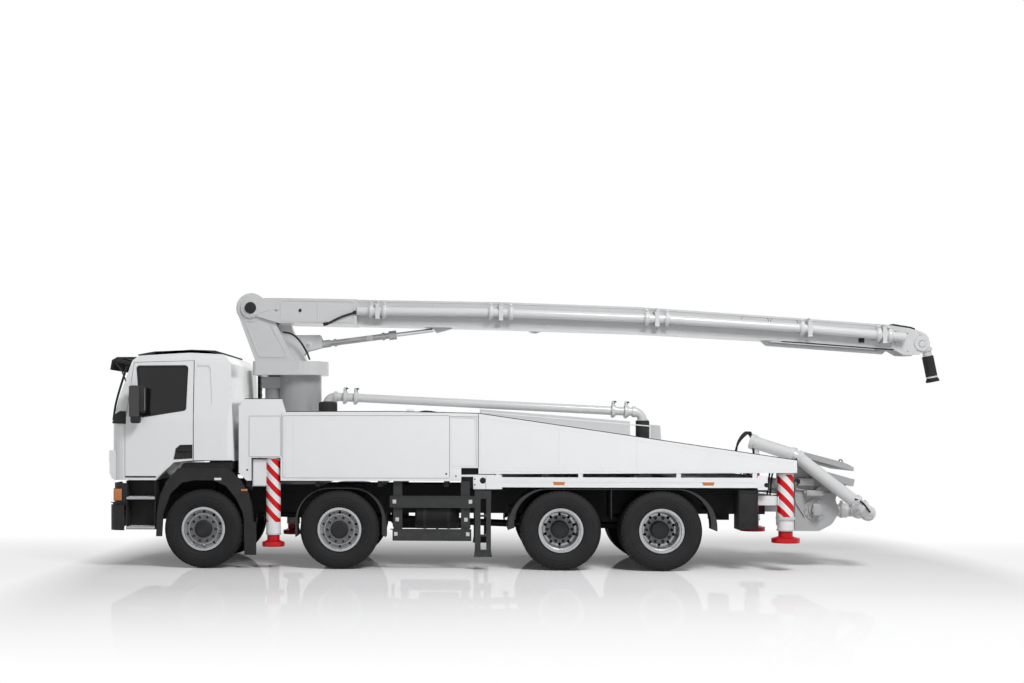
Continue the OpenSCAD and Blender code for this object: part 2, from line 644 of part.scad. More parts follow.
// The hopper's side outline, its wall drawn in by w
function hopper_side(w) = rounded([
  [rim_a[0] + w, rim_a[1] - w, 0], [rim_b[0] - 1.4 * w, rim_b[1] - w, 0],
      [4210 - 1.2 * w, 960 - 0.1 * w, 80],
  [4275 - w, 770, 80], [4170 - 0.8 * w, 600 + 0.7 * w, 120], [4000 - 0.3 * w, 506 + w, 120],
      [3672 + w, 506 + w, 0]]);
module hopper() placed() color("#b7b9ba") {
  difference() {
    union() {
      across(hopper_side(0), -hopper_y, hopper_y);
      both_sides() bar_y(agitator_at, 190, hopper_y - 1, hopper_y + 40);
      across([rim_a, rim_b + [30, -8], rim_b + [10, -104], rim_a + [0, -100]],
          -hopper_y - 60, hopper_y + 60);
    }
    across(hopper_side(hopper_t), -hopper_y + hopper_t, hopper_y - hopper_t);
    across([rim_a + [hopper_t, -60], rim_a + [hopper_t, 40], rim_b + [-hopper_t - 4, 40],
        rim_b + [-hopper_t - 40, -60]],
      -hopper_y + hopper_t, hopper_y - hopper_t);
    bar_y(agitator_at, 61, -hopper_y - 100, hopper_y + 100);
  }
  // Outlet flange, and the lugs of the lid
  bar([4200, 0, 760], [4300, 0, 760], pipe_d + 90);
  both_sides() difference() {
    across([[3705, 1420], [3765, 1405], [3757, 1572], [3713, 1572]], hopper_y + 46, hopper_y + 60);
    bar_y(lid_hinge, 25, hopper_y, hopper_y + 100);
  }
  // Grate over the mouth
  for (k = [-4 : 4]) across([rim_a + [hopper_t - 1, -34], rim_b + [-40, -45], rim_b + [-54, -90],
      rim_a + [hopper_t - 1, -84]],
    k * 120 - 5, k * 120 + 5);
  // Brackets to the chassis
  both_sides() block([frame_rear_x - 120, frame_w / 2 - rail_t - 20 - fit, 760],
      [hopper_x + 1, frame_w / 2 - rail_t - fit, 960]);
}

module agitator() placed() color("#8b8f92") {
  bar_y(agitator_at, 60, -hopper_y - 60, hopper_y + 60);
  for (k = [-3 : 3]) if (k != 0) translate([agitator_at[0], k * 150, agitator_at[1]])
    rotate([0, k * 60, 0]) block([-20, -10, -230], [20, 10, 230]);
}

module hopper_lid() placed() color("#b7b9ba") {
  across([[3728, 1592], [4334, 1428], [4452, 1384], [4452, 1330], [4430, 1338], [3728, 1532]],
    -hopper_y - 40, hopper_y + 40);
  both_sides() bar_y(lid_hinge, 24, hopper_y + 30, hopper_y + 66);
}

function deck_pipe_z(x) = lin(deck_pipe[0], deck_pipe[1], x);
foot_x = deck_pipe[0][0];
module delivery_pipe() placed() color("#dedede") {
  // Pipe on the deck, from the slewing column to its riser
  pipe_run([[foot_x, pipe_y, deck_z + fit], [foot_x, pipe_y, deck_pipe_z(foot_x)],
    [riser_x, pipe_y, deck_pipe_z(riser_x)], [riser_x, pipe_y, deck_at(riser_x) - 60]], pipe_d, 130);
  translate([foot_x, pipe_y, deck_z + fit]) cylinder(h = 70, d = 190);
  for (x = [-2596, -2439, 1278, 1461])
    bar([x, pipe_y, deck_pipe_z(x)], [x + 40, pipe_y, deck_pipe_z(x + 40)], pipe_d + 40);
  // Pipe from the hopper's outlet along its left side to the deck
  pipe_run([[4300 + fit, 0, 760], [4640, 0, 760], [4640, -770, 755], [3640, -765, 1545],
    pipe_tail], pipe_d + 50, 150);
  // Its end coupling and the stand under it
  bar(pipe_tail, pipe_tail + [47, -21, -17], pipe_d + 90);
  block([3130, -590, deck_at(3130) + fit], [3190, -510, 1700]);
}

// Slewing pedestal
slew_z = 2660;
module pedestal() placed() color("#d8d8d8") {
  translate([slew_x, 0, 0]) {
    translate([0, 0, box_z]) cylinder(h = slew_z - box_z, d = column_d);
    translate([0, 0, box_z]) cylinder(h = 60, d = column_d + 60);
  }
  block([slew_x - 330, -420, box_z], [slew_x + 330, 420, box_z + 40]);
  // Slewing motor beside the column
  translate([-3608, 0, deck_z + fit]) cylinder(h = 2500 - deck_z, d = 260);
  block([-3761, -150, 2495], [-3418, 150, slew_z]);
}

// Boom
boom_pin = [-3908, 3641];
lift_foot = [-3110, 3105];
lift_eye = [-1275, 3332];
tip_angle = -3.35;
tip_pin = boom_pin + arm_1_len * [cos(tip_angle), sin(tip_angle)];
fold_angle = 3.9;
knee_pin = tip_pin + arm_2_len * [-cos(fold_angle), sin(fold_angle)];
turret_half = 250;
plate = 12;

module turret() placed() color("#e8e8e8") {
  difference() {
    union() {
      translate([0, 0, slew_z + 17]) linear_extrude(195)
        polygon(rounded([[-3862, -430, 60], [-2816, -430, 380], [-2816, 430, 380], [-3862, 430, 60]],
            8));
      translate([slew_x, 0, slew_z + fit]) cylinder(h = 30, d = column_d - 20);
    }
    translate([0, 0, slew_z + 17 + 20]) linear_extrude(155)
      polygon(rounded([[-3842, -410, 50], [-2836, -410, 360], [-2836, 410, 360], [-3842, 410, 50]], 8));
  }
  difference() {
    union() {
      across([[-3844, 2871], [-4115, 3600], [-3640, 3600], [-3276, 2871]], -turret_half, turret_half);
      bar_y(boom_pin, 430, -turret_half, turret_half);
      // Rear box that carries the lifting cylinder
      across([[-3500, 2871], [-3630, 3405], [-3356, 3405], [-3117, 2871]], -120, 120);
    }
    across([[-3800, 2880], [-4060, 3600], [-3700, 3600], [-3340, 2880]],
        -turret_half + 20, turret_half - 20);
    bar_y(boom_pin, 390, -turret_half + 20, turret_half - 20);
    bar_y(boom_pin, 122, -turret_half - 1, turret_half + 1);
  }
  both_sides() difference() {
    across([[-3300, 3262], [-2930, 3262], [-2900, 3200], [-2900, 3080], [-3100, 3030], [-3230, 2900]],
        62, 82);
    bar_y(lift_foot, 51, 50, 100);
  }
}

// Top and bottom edges of the first arm
// Places near the tip are measured from its pin
function off_tip(back, up) = [tip_pin[0] - back, tip_pin[1] + up];
arm_top = [[-3500, 3781], [-351, 3709], [1616, 3626],
    off_tip(1666, 367), off_tip(573, 277), off_tip(264, 244)];
arm_low = [[-3500, 3421], [-351, 3333], [1616, 3259],
    off_tip(1666, 34), off_tip(573, -57), off_tip(264, -81)];
arm_last = len(arm_top) - 1;
// How far the outline's point i moves along the arm for walls of thickness t
function end_shift(i, t) = i == 0 ? t : i == arm_last ? -t : 0;
function arm_outline(t) = concat(
  [for (i = [0 : arm_last]) arm_top[i] + [end_shift(i, t), -t]],
  [for (i = [arm_last : -1 : 0]) arm_low[i] + [end_shift(i, t), t]]);
casing_half = 290;
casing_end = -2384;

module boom_1() placed() color("#e2e2e2") {
  difference() {
    union() {
      across(arm_outline(0), -arm_half, arm_half);
      difference() {
        across([[-3500, 3781], [casing_end, 3755], [casing_end, 3390], [-3500, 3421]],
            -casing_half, casing_half);
        across([[-3500 + plate, 3769], [casing_end - plate, 3743], [casing_end - plate, 3402],
            [-3500 + plate, 3433]],
          -casing_half + plate, casing_half - plate);
      }
    }
    across(arm_outline(plate), -arm_half + plate, arm_half - plate);
    block([-1420, -45, 3300], [-1200, 45, 3400]);
  }
  both_sides() {
    bar_y(boom_pin, 280, turret_half + 8, casing_half);
    across([[-3908, 3781], [-3499, 3781], [-3499, 3421], [-3830, 3524]], turret_half + 8, casing_half);
    bar_y(boom_pin, 166, casing_half, casing_half + 20);
  }
  bar_y(boom_pin, 120, -casing_half, casing_half);
  // Fork for the lifting rod
  both_sides() across([[-1325, 3366], [-1250, 3288], [-1030, 3348], [-1030, 3360]], 46, 64);
  // Tip: two plates with the hinge pin of the second arm
  both_sides() across([off_tip(421, 259), off_tip(164, 220), off_tip(10, 172), off_tip(-62, 130),
    off_tip(-98, 66), off_tip(-100, -40), off_tip(-62, -92), off_tip(27, -150), off_tip(140, -155),
    off_tip(258, -149), off_tip(421, -51)], arm_half - 1, arm_half + 15);
  bar_y(tip_pin, 90, -arm_half - 40, arm_2_y[1] + 20);
  // Bracket and belly link of the folding cylinder
  both_sides() across([off_tip(2194, 89), off_tip(2014, 74), off_tip(2085, -11)], 22, 40);
  both_sides() across([off_tip(594, -46), off_tip(414, -61), off_tip(494, -136)], 22, 40);
  bar([link_a[0], 0, link_a[1]], [link_b[0], 0, link_b[1]], 60);
}

link_a = off_tip(2085, 19);
link_b = off_tip(494, -106);
pipe_line = [[casing_end + 3, 3587], [-480, 3555], [1980, 3447],
    off_tip(1654, 220), off_tip(614, 124), off_tip(254, 89)];
arm_pipe_y = -arm_half - 85;
collar_x = [-2180, -1990, -480, -200, 1700, 1980, tip_pin[0] - 1654, tip_pin[0] - 614,
    tip_pin[0] - 464];
clamp_x = [-2085, -340, 1840, tip_pin[0] - 1554, tip_pin[0] - 539];
function lin(p, q, x) = p[1] + (q[1] - p[1]) * (x - p[0]) / (q[0] - p[0]);
function pipe_part(x, k = 0) =
  k == len(pipe_line) - 2 || x < pipe_line[k + 1][0] ? k : pipe_part(x, k + 1);
function pipe_z(x) = lin(pipe_line[pipe_part(x)], pipe_line[pipe_part(x) + 1], x);
module boom_1_pipe() placed() color("#e8e8e8") {
  // The pipes end inside the couplings
  for (i = [0 : len(pipe_line) - 2]) {
    x0 = pipe_line[i][0] + (i == 0 ? 0 : 8);
    x1 = pipe_line[i + 1][0] - (i == len(pipe_line) - 2 ? 0 : 8);
    bar([x0, arm_pipe_y, pipe_z(x0)], [x1, arm_pipe_y, pipe_z(x1)], pipe_d);
  }
  for (x = collar_x) translate([x - 35, arm_pipe_y, pipe_z(x)]) rotate([0, 90, 0]) cylinder(h = 70,
      d = pipe_d + 36);
  for (x = clamp_x) block([x - 30, arm_pipe_y - 70, pipe_z(x) - 100],
      [x + 30, -arm_half - fit, pipe_z(x) + 100]);
}

arm_2_y = [215, 465];
arm_3_y = [640, 820];
arm_lift = 60;
arm_pipe_gap = 72;
// A hollow arm between two pins, its box lifted above the pin line
module arm(from, angle, length, y, h, over) {
  translate([from[0], 0, from[1]]) rotate([0, -angle, 0]) difference() {
    union() {
      across([[0, 130], [250, arm_lift + h / 2], [length + over, arm_lift + h / 2 - 15],
          [length + over, arm_lift - h / 2 + 15],
        [250, arm_lift - h / 2], [60, -115]], y[0], y[1]);
      bar_y([0, 0], 260, y[0], y[1]);
      if (over == 0) bar_y([length, 0], 240, y[0], y[1]);
    }
    across([[200, arm_lift + h / 2 - 40], [260, arm_lift + h / 2 - 10],
        [length - 200, arm_lift + h / 2 - 25],
      [length - 200, arm_lift - h / 2 + 25], [260, arm_lift - h / 2 + 10],
          [200, arm_lift - h / 2 + 40]], y[0] + 10, y[1] - 10);
    for (x = [420, length - 500]) translate([x, (y[0] + y[1]) / 2,
        -h / 2]) cylinder(h = h / 2 + arm_lift, d = 80);
  }
}
// The delivery pipe on an arm's far side, on its clamps
module arm_pipe(from, angle, length, face) translate([from[0], 0, from[1]]) rotate([0, -angle, 0]) {
  bar([200, face + arm_pipe_gap, 75], [length - 230, face + arm_pipe_gap, 75], pipe_d);
  for (x = [700, length / 2, length - 700]) block([x - 30, face - 1, 35],
      [x + 30, face + arm_pipe_gap, 115]);
}
module boom_2() placed() color("#dddddd") {
  difference() {
    mirror_about(tip_pin) {
      arm(tip_pin, fold_angle, arm_2_len, arm_2_y, 260, 0);
      arm_pipe(tip_pin, fold_angle, arm_2_len, arm_2_y[1]);
    }
    bar_y(tip_pin, 92, arm_2_y[0] - 1, arm_2_y[1] + 1);
  }
  bar_y(knee_pin, 80, arm_2_y[0], arm_3_y[1] + 20);
}
module mirror_about(pin) translate([2 * pin[0], 0, 0]) mirror([1, 0, 0]) children();

arm_3_pipe_y = arm_3_y[1] + arm_pipe_gap;
module boom_3() placed() color("#d6d6d6") {
  difference() {
    arm(knee_pin, -fold_angle, arm_2_len, arm_3_y, 200, 120);
    bar_y(knee_pin, 82, arm_3_y[0] - 1, arm_3_y[1] + 1);
  }
  pipe_run([[knee_pin[0] + 200, arm_3_pipe_y, knee_pin[1] + 50],
      [tip_pin[0] + 66, arm_3_pipe_y, tip_pin[1] + 69],
    hose_top - 190 * hose_way, hose_top], pipe_d, 114);
  for (along = [514, 2414, 4314]) {
    x = knee_pin[0] + along;
    z = knee_pin[1] + 36 - 0.0663 * along;
    block([x - 30, arm_3_y[1] - 1, z - 40], [x + 30, arm_3_pipe_y - 20, z + 40]);
  }
}
hose_top = [tip_pin[0] + 372, 730, tip_pin[1] - 126];
hose_end = hose_top + [75, 0, -375];
hose_way = unit(hose_end - hose_top);
module end_hose() placed() color("#262627") {
  bar(hose_top + fit * hose_way, hose_end, hose_d);
  bar(hose_end - 40 * hose_way, hose_end, hose_d + 26);
}

// Lifting cylinder
lift_way = unit(lift_eye - lift_foot);
lift_collar = 1290;
function on_lift(s) = [lift_foot[0] + lift_way[0] * s, 0, lift_foot[1] + lift_way[1] * s];
lift_rest = norm(lift_eye - lift_foot);
module lift_barrel() placed() color("#c9c9c9") {
  difference() {
    union() {
      bar_y(lift_foot, 110, -52, 52);
      bar(on_lift(0), on_lift(lift_collar), barrel_d);
      bar(on_lift(45), on_lift(330), barrel_d + 25);
      bar(on_lift(lift_collar - 110), on_lift(lift_collar), barrel_d + 45);
    }
    bar(on_lift(80), on_lift(lift_collar + 1), rod_d + 1);
  }
  bar_y(lift_foot, 50, -90, 90);
}
module lift_rod() placed() color("#d6d8da") {
  bar(on_lift(100), on_lift(lift_rest), rod_d);
  bar_y(lift_eye, 74, -40, 40);
}

// Cab
module cab_prism(points) across(points, -half_w, half_w);
function cab_side(w) = rounded([
  [-5698 + w, cab_floor_z + w, 0], [-5711 + w, 1975, 60], [-5416 + w, cab_roof_z - 111, 90],
      [-5330, cab_roof_z - 42 - w, 60],
  [-4632, cab_roof_z - w, 0], [-4150 - w, cab_roof_z - 28 - w, 70], [-4045 - w, cab_roof_z - 151, 70],
      [-4000 - w, 1469 + w, 0],
  [-4560, 1468 + w, 0], [-4817 + w * 0.4, 1440 + w, 0], [-5067 + w * 0.4, cab_floor_z + w, 0]]);
function cab_front(w) = rounded([
  [-half_w + w, cab_floor_z - 1, 0], [half_w - w, cab_floor_z - 1, 0], [half_w - w, 2030, 200],
      [half_w - 80 - w, cab_roof_z - w, 150],
  [-half_w + 80 + w, cab_roof_z - w, 150], [-half_w + w, 2030, 200]]);
function cab_plan(w) = rounded([
  [-5712 + w, -half_w + w, 230], [-3990 - w, -half_w + w, 110], [-3990 - w, half_w - w, 110],
      [-5712 + w, half_w - w, 230]], 7);
module cab_solid(w) intersection() {
  cab_prism(cab_side(w));
  translate([-5800, 0, 0]) rotate([90, 0, 90]) linear_extrude(1900) polygon(cab_front(w));
  translate([0, 0, 1000]) linear_extrude(2000) polygon(cab_plan(w));
}
// The hollow inside the cab's walls
module cab_hollow() intersection() {
  w = cab_wall;
  cab_prism([
    [-5698 + w, cab_floor_z + w], [-5711 + w, 1975], [-5400 + w, cab_roof_z - 111 - w],
        [-5330, cab_roof_z - 42 - w],
    [-4632, cab_roof_z - w], [-4150 - w, cab_roof_z - 28 - w], [-4060 - w, cab_roof_z - 151],
        [-4000 - w, 1469 + w],
    [-4560, 1468 + w], [-4817 + w * 0.4, 1440 + w], [-5067 + w * 0.4, cab_floor_z + w]]);
  translate([-5800, 0, 0]) rotate([90, 0, 90]) linear_extrude(1900) polygon([
    [-half_w + w, cab_floor_z - 6], [half_w - w, cab_floor_z - 6], [half_w - w, 2010],
    [half_w - 60 - w, cab_roof_z - 241], [half_w - 190, cab_roof_z], [-half_w + 190, cab_roof_z],
    [-half_w + 60 + w, cab_roof_z - 241], [-half_w + w, 2010]]);
  translate([0, 0, 1000]) linear_extrude(2000) polygon([
    [-5712 + w, -half_w + 240], [-5510, -half_w + w], [-4100, -half_w + w], [-3990 - w, -half_w + 150],
    [-3990 - w, half_w - 150], [-4100, half_w - w], [-5510, half_w - w], [-5712 + w, half_w - 240]]);
}
// The side walls and roof alone, between two depths under the skin
module wall_ring(a, b) translate([-5900, 0, 0]) rotate([90, 0, 90]) linear_extrude(2100) difference() {
  polygon(cab_front(a));
  polygon(cab_front(b));
}
function door_outline(g) = [
  [-5506 + g, cab_floor_z + 32 + g], [-5506 + g, 1975], [-5392 + g, cab_roof_z - 133 - g],
      [-4548 - 2 * g, cab_roof_z - 113 - g], [-4548 - 2 * g, 1468 + g],
  [-4817 + g * 0.4, 1440 + g], [-5067 + g * 0.4, cab_floor_z + 32 + g]];
function window_outline(g) = rounded([
  [-5290 + g, 2060 + g, 40], [-5360 + g, cab_roof_z - 179 - g, 40],
      [-4632 - g, cab_roof_z - 177 - g, 50], [-4654 - g, 2160 + g, 40]]);
function windscreen(g) = [[-1080 + g, 2020 + g], [1080 - g, 2020 + g],
    [1010 - g, cab_roof_z - 171 - g], [-1010 + g, cab_roof_z - 171 - g]];

module cab_shell() placed() color("#f0f0f0") {
  difference() {
    cab_solid(0);
    cab_hollow();
    both_sides() intersection() {
      across(door_outline(0), half_w - 200, half_w + 50);
      wall_ring(-20, cab_wall + 1);
    }
    // Pressed field behind the door
    both_sides() intersection() {
      across(rounded([
        [-4520, 2190, 30], [-4520, cab_roof_z - 178, 30], [-4330, cab_roof_z - 178, 60],
            [-4295, 2230, 60]]), half_w - 200, half_w + 50);
      wall_ring(-20, 12);
    }
    translate([-5800, 0, 0]) rotate([90, 0, 90]) linear_extrude(450) polygon(windscreen(0));
  }
  // Headlamp blocks
  both_sides() intersection() {
    across([[-5786, 1614], [-5786, 1430], [-5700, 1220], [-5640, 1220], [-5640, 1614]],
        half_w - 480, half_w - 70);
    translate([0, 0, 1200]) linear_extrude(440) polygon([[-5786, half_w - 480], [-5786, half_w - 300],
      [-5735, half_w - 70], [-5640, half_w - 70], [-5640, half_w - 480]]);
  }
  // Tilt arms with their pins in the chassis lugs
  both_sides() {
    block([-5650, frame_w / 2 - 24, 1066], [-5600, frame_w / 2 - 4, cab_floor_z + 10]);
    bar_y(cab_pivot, 30, frame_w / 2 - 62, frame_w / 2 - 4);
  }
}

module cab_glass() placed() color([0.1, 0.1, 0.12]) intersection() {
  difference() { cab_solid(8); cab_solid(8 + glass_t); }
  translate([-5800, 0, 0]) rotate([90, 0, 90]) linear_extrude(450) polygon(windscreen(fit));
}

visor_z = cab_roof_z - 59;
module cab_trim() placed() color("#2b2b2c") difference() {
  union() {
    // Sun visor
    across([[-5739, visor_z - 172], [-5715, visor_z - 42], [-5640, visor_z], [-5330, visor_z],
      [-5330, visor_z - 26], [-5620, visor_z - 26], [-5700, visor_z - 67], [-5722, visor_z - 179]],
      -half_w + 120, half_w - 120);
    // Grille slats
    for (k = [0 : 4]) block([-5730, -640, 1320 + k * 110], [-5650, 640, 1380 + k * 110]);
    // Strip on the roof
    across([[-5280, cab_roof_z - 60], [-5200, cab_roof_z + 24], [-4700, cab_roof_z + 62],
      [-4350, cab_roof_z + 49], [-4180, cab_roof_z - 1], [-4180, cab_roof_z - 61]], -700, 700);
  }
  cab_solid(-fit);
}

module cab_interior() placed() color("#5a5a5c") {
  block([-5595, -1060, cab_floor_z + cab_wall + fit], [-5380, 1060, 1900]);
  for (y = [-620, 620]) {
    block([-4900, y - 250, 1540], [-4380, y + 250, 1700]);
    block([-4500, y - 240, 1700], [-4380, y + 240, 2400]);
    block([-4850, y - 150, 1468 + cab_wall + fit], [-4450, y + 150, 1541]);
  }
}

module door(side) placed() color("#f0f0f0") on_side(side) {
  difference() {
    intersection() {
      cab_solid(0);
      wall_ring(-20, cab_wall);
      across(door_outline(door_gap), half_w - 200, half_w + 50);
    }
    across(window_outline(0), half_w - 250, half_w + 60);
    // Handle recess
    across([[-4838, 1484], [-4800, 1640], [-4740, 1690], [-4565, 1694], [-4565, 1500]],
        half_w - 25, half_w + 1);
  }
  // Mirrors on their arms
  block([-5400, half_w + 60, 2075], [-5260, half_w + 200, 2490]);
  block([-5390, half_w - 30, 2120], [-5350, half_w + 61, 2150]);
  block([-5390, half_w - 60, 2430], [-5350, half_w + 61, 2460]);
}
module door_glass(side) placed() color([0.1, 0.1, 0.12]) on_side(side) intersection() {
  difference() { cab_solid(20); cab_solid(20 + glass_t); }
  across(window_outline(fit), half_w - 200, half_w);
}

tyre(1, -1);  // tyre_1l
tyre(1, 1);  // tyre_1r
tyre(2, -1);  // tyre_2l
tyre(2, 1);  // tyre_2r
tyre(3, -1);  // tyre_3l
tyre(3, 1);  // tyre_3r
tyre(4, -1);  // tyre_4l
tyre(4, 1);  // tyre_4r
rim(1, -1);  // rim_1l
rim(1, 1);  // rim_1r
rim(2, -1);  // rim_2l
rim(2, 1);  // rim_2r
rim(3, -1);  // rim_3l
rim(3, 1);  // rim_3r
rim(4, -1);  // rim_4l
rim(4, 1);  // rim_4r
knuckle(1, -1);  // knuckle_1l
knuckle(1, 1);  // knuckle_1r
knuckle(2, -1);  // knuckle_2l
knuckle(2, 1);  // knuckle_2r
frame();
engine();
axles();
tanks();
front_arches();
mudguards();
bumper();
guards();
outrigger_box();
side_panels();
wedge_panels();
housing();
pump();
hopper();
agitator();
hopper_lid();
delivery_pipe();
pedestal();
cab_shell();
cab_glass();
cab_trim();
cab_interior();
turret();
boom_1();
boom_1_pipe();
boom_2();
boom_3();
end_hose();
lift_barrel();
lift_rod();
door(-1);  // door_left
door(1);  // door_right
door_glass(-1);  // door_glass_left
door_glass(1);  // door_glass_right
beam(-1);  // beam_left
beam(1);  // beam_right
front_foot(-1);  // foot_front_left
front_foot(1);  // foot_front_right
rear_foot(-1);  // foot_rear_left
rear_foot(1);  // foot_rear_right
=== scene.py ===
import bpy
import bmesh
import json
import math
from mathutils import Matrix, Vector


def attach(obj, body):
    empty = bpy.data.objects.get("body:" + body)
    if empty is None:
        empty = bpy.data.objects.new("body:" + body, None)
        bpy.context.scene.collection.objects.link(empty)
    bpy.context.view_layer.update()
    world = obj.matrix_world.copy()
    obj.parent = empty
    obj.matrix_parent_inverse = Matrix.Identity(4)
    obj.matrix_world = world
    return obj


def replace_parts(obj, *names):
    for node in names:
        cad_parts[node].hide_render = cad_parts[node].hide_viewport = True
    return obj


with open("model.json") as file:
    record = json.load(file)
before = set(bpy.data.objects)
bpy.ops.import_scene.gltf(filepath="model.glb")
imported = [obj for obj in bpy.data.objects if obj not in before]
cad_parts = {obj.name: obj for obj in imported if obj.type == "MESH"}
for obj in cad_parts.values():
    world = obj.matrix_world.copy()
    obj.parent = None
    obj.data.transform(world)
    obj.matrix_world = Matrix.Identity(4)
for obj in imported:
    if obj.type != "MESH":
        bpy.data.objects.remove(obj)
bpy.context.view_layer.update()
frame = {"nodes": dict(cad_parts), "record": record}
nodes = frame["nodes"]
print("frame loaded:", len(nodes), "nodes")

offset = -0.123  # from the drawing's datum to the frame
axleX, axleZ = (-4.42, -2.55, 0.44, 1.78), 0.54
frontLeg, rearLeg = (-3.463, 1.145), (3.432, 1.1)  # along the truck and from its middle plane

# Camera: level, turned a little towards the cab
cameraSet = dict(place=(-0.983, -20.45, 1.92), turn=4.07, lens=49.9, shiftX=0.1455, shiftY=0.0845)


def makeCamera(s):
    data = bpy.data.cameras.new("camera")
    data.lens, data.shift_x, data.shift_y = s["lens"], s["shiftX"], s["shiftY"]
    data.clip_end = 200
    cam = bpy.data.objects.new("camera", data)
    cam.location = s["place"]
    cam.rotation_euler = (math.radians(90), 0, math.radians(s["turn"]))
    bpy.context.scene.collection.objects.link(cam)
    bpy.context.scene.camera = cam


makeCamera(cameraSet)


# Shader sockets that can be added, multiplied and compared like numbers
class Wire:
    def __init__(self, finish, socket):
        self.finish, self.socket = finish, socket

    def maths(self, kind, a, b=None):
        values = [a] if b is None else [a, b]
        return self.finish.node("ShaderNodeMath", dict(operation=kind), values)

    def __add__(self, other): return self.maths("ADD", self, other)
    def __radd__(self, other): return self.maths("ADD", other, self)
    def __sub__(self, other): return self.maths("SUBTRACT", self, other)
    def __rsub__(self, other): return self.maths("SUBTRACT", other, self)
    def __mul__(self, other): return self.maths("MULTIPLY", self, other)
    def __rmul__(self, other): return self.maths("MULTIPLY", other, self)
    def __truediv__(self, other): return self.maths("DIVIDE", self, other)
    def __gt__(self, other): return self.maths("GREATER_THAN", self, other)
    def __lt__(self, other): return self.maths("LESS_THAN", self, other)
    def __abs__(self): return self.maths("ABSOLUTE", self)
    def part(self): return self.maths("FRACT", self)
    def root(self): return self.maths("SQRT", self)
    def within(self, low, high): return (self > low) * (self < high)


class Graph:
    def __init__(self, owner, kind):
        owner.use_nodes = True
        self.tree = owner.node_tree
        self.shader = next(n for n in self.tree.nodes if n.type == kind)

    def node(self, kind, settings=None, values=(), out=0):
        made = self.tree.nodes.new(kind)
        for key, value in (settings or {}).items():
            if key == "stops":
                while len(made.color_ramp.elements) < len(value):
                    made.color_ramp.elements.new(0.5)
                for stop, (at, tint) in zip(made.color_ramp.elements, value):
                    stop.position, stop.color = at, (*tint, 1)
            else:
                setattr(made, key, value)
        pairs = values.items() if isinstance(values, dict) else enumerate(values)
        for key, value in pairs:
            if isinstance(value, Wire):
                self.tree.links.new(value.socket, made.inputs[key])
            else:
                made.inputs[key].default_value = value
        return Wire(self, made.outputs[out])

    def place(self):
        return self.node("ShaderNodeTexCoord", out="Object")

    def axes(self):
        split = self.node("ShaderNodeSeparateXYZ", values=[self.place()])
        outs = split.socket.node.outputs
        return [Wire(self, outs[k]) for k in range(3)]

    def noise(self, scale, detail=3.0, rough=0.5):
        values = {"Vector": self.place(), "Scale": scale, "Detail": detail, "Roughness": rough}
        return self.node("ShaderNodeTexNoise", values=values)

    def mix(self, share, a, b):
        def tint(c): return c if isinstance(c, Wire) else (*c, 1)
        return self.node("ShaderNodeMix", dict(data_type="RGBA"), {0: share, 6: tint(a), 7: tint(b)}, out=2)

    def ramp(self, wire, low, high, a=0.0, b=1.0):
        return self.node("ShaderNodeMapRange", dict(clamp=True),
                         {"Value": wire, "From Min": low, "From Max": high, "To Min": a, "To Max": b})

    def feed(self, socket, wire):
        self.tree.links.new(wire.socket, self.shader.inputs[socket])

    def seen(self):  # rays of the camera, mirrored and passed on ones too
        paths = self.node("ShaderNodeLightPath").socket.node.outputs
        direct = Wire(self, paths["Is Camera Ray"])
        return (direct + Wire(self, paths["Is Glossy Ray"]) + Wire(self, paths["Is Transmission Ray"])) > 0.5

    def bump(self, height, strength, distance):
        self.feed("Normal", self.node("ShaderNodeBump", values={"Height": height, "Strength": strength,
                                                              "Distance": distance}))


class Finish(Graph):
    def __init__(self, name, colour, roughness, metallic=0.0, coat=0.0, **more):
        self.material = bpy.data.materials.new(name)
        super().__init__(self.material, "BSDF_PRINCIPLED")
        constants = {"Base Color": (*colour, 1), "Roughness": roughness, "Metallic": metallic,
                     "Coat Weight": coat}
        constants.update((key.replace("_", " "), value) for key, value in more.items())
        for socket, value in constants.items():
            self.shader.inputs[socket].default_value = value
        self.material.diffuse_color = (*colour, 1)


def shade(colour, factor):
    return tuple(c * factor for c in colour)


# Painted steel: faint cloudiness, orange peel and road dust near the ground
# The optional outer pair is a distance from the middle plane and the colour beyond it
def makePaint(name, colour, roughness=0.32, coat=0.35, dustTop=1.3, dust=0.25, gloss=0.4, outer=None):
    f = Finish(name, colour, roughness, 0, coat, Coat_Roughness=0.12, Specular_IOR_Level=gloss)
    clouds = f.noise(2.3, 4.0)
    tone = f.mix(f.ramp(clouds, 0.35, 0.7), colour, shade(colour, 0.985))
    py, pz = f.axes()[1:]
    low = f.ramp(pz, 0.15, dustTop, 1.0, 0) * f.ramp(f.noise(9, 5.0, 0.6), 0.42, 0.66)
    tone = f.mix(low * dust, tone, (0.36, 0.34, 0.31))
    if outer:
        tone = f.mix(abs(py) > outer[0], tone, outer[1])
    f.feed("Base Color", tone)
    f.feed("Roughness", f.ramp(f.noise(12, 2.0), 0.3, 0.7, roughness * 0.98, roughness * 1.03))
    f.bump(f.noise(420, 1.0), 0.006, 0.0004)
    return f.material


# Rims: dark hub, grey disc and bright outer ring, by the distance from the nearest axle. The dark hub and
# grey disc are painted shade of the deep dish
rimSet = dict(dark=(0.03, 0.03, 0.032), grey=(0.14, 0.14, 0.148), bright=(0.47, 0.48, 0.49), hub=0.118,
              disc=0.2)


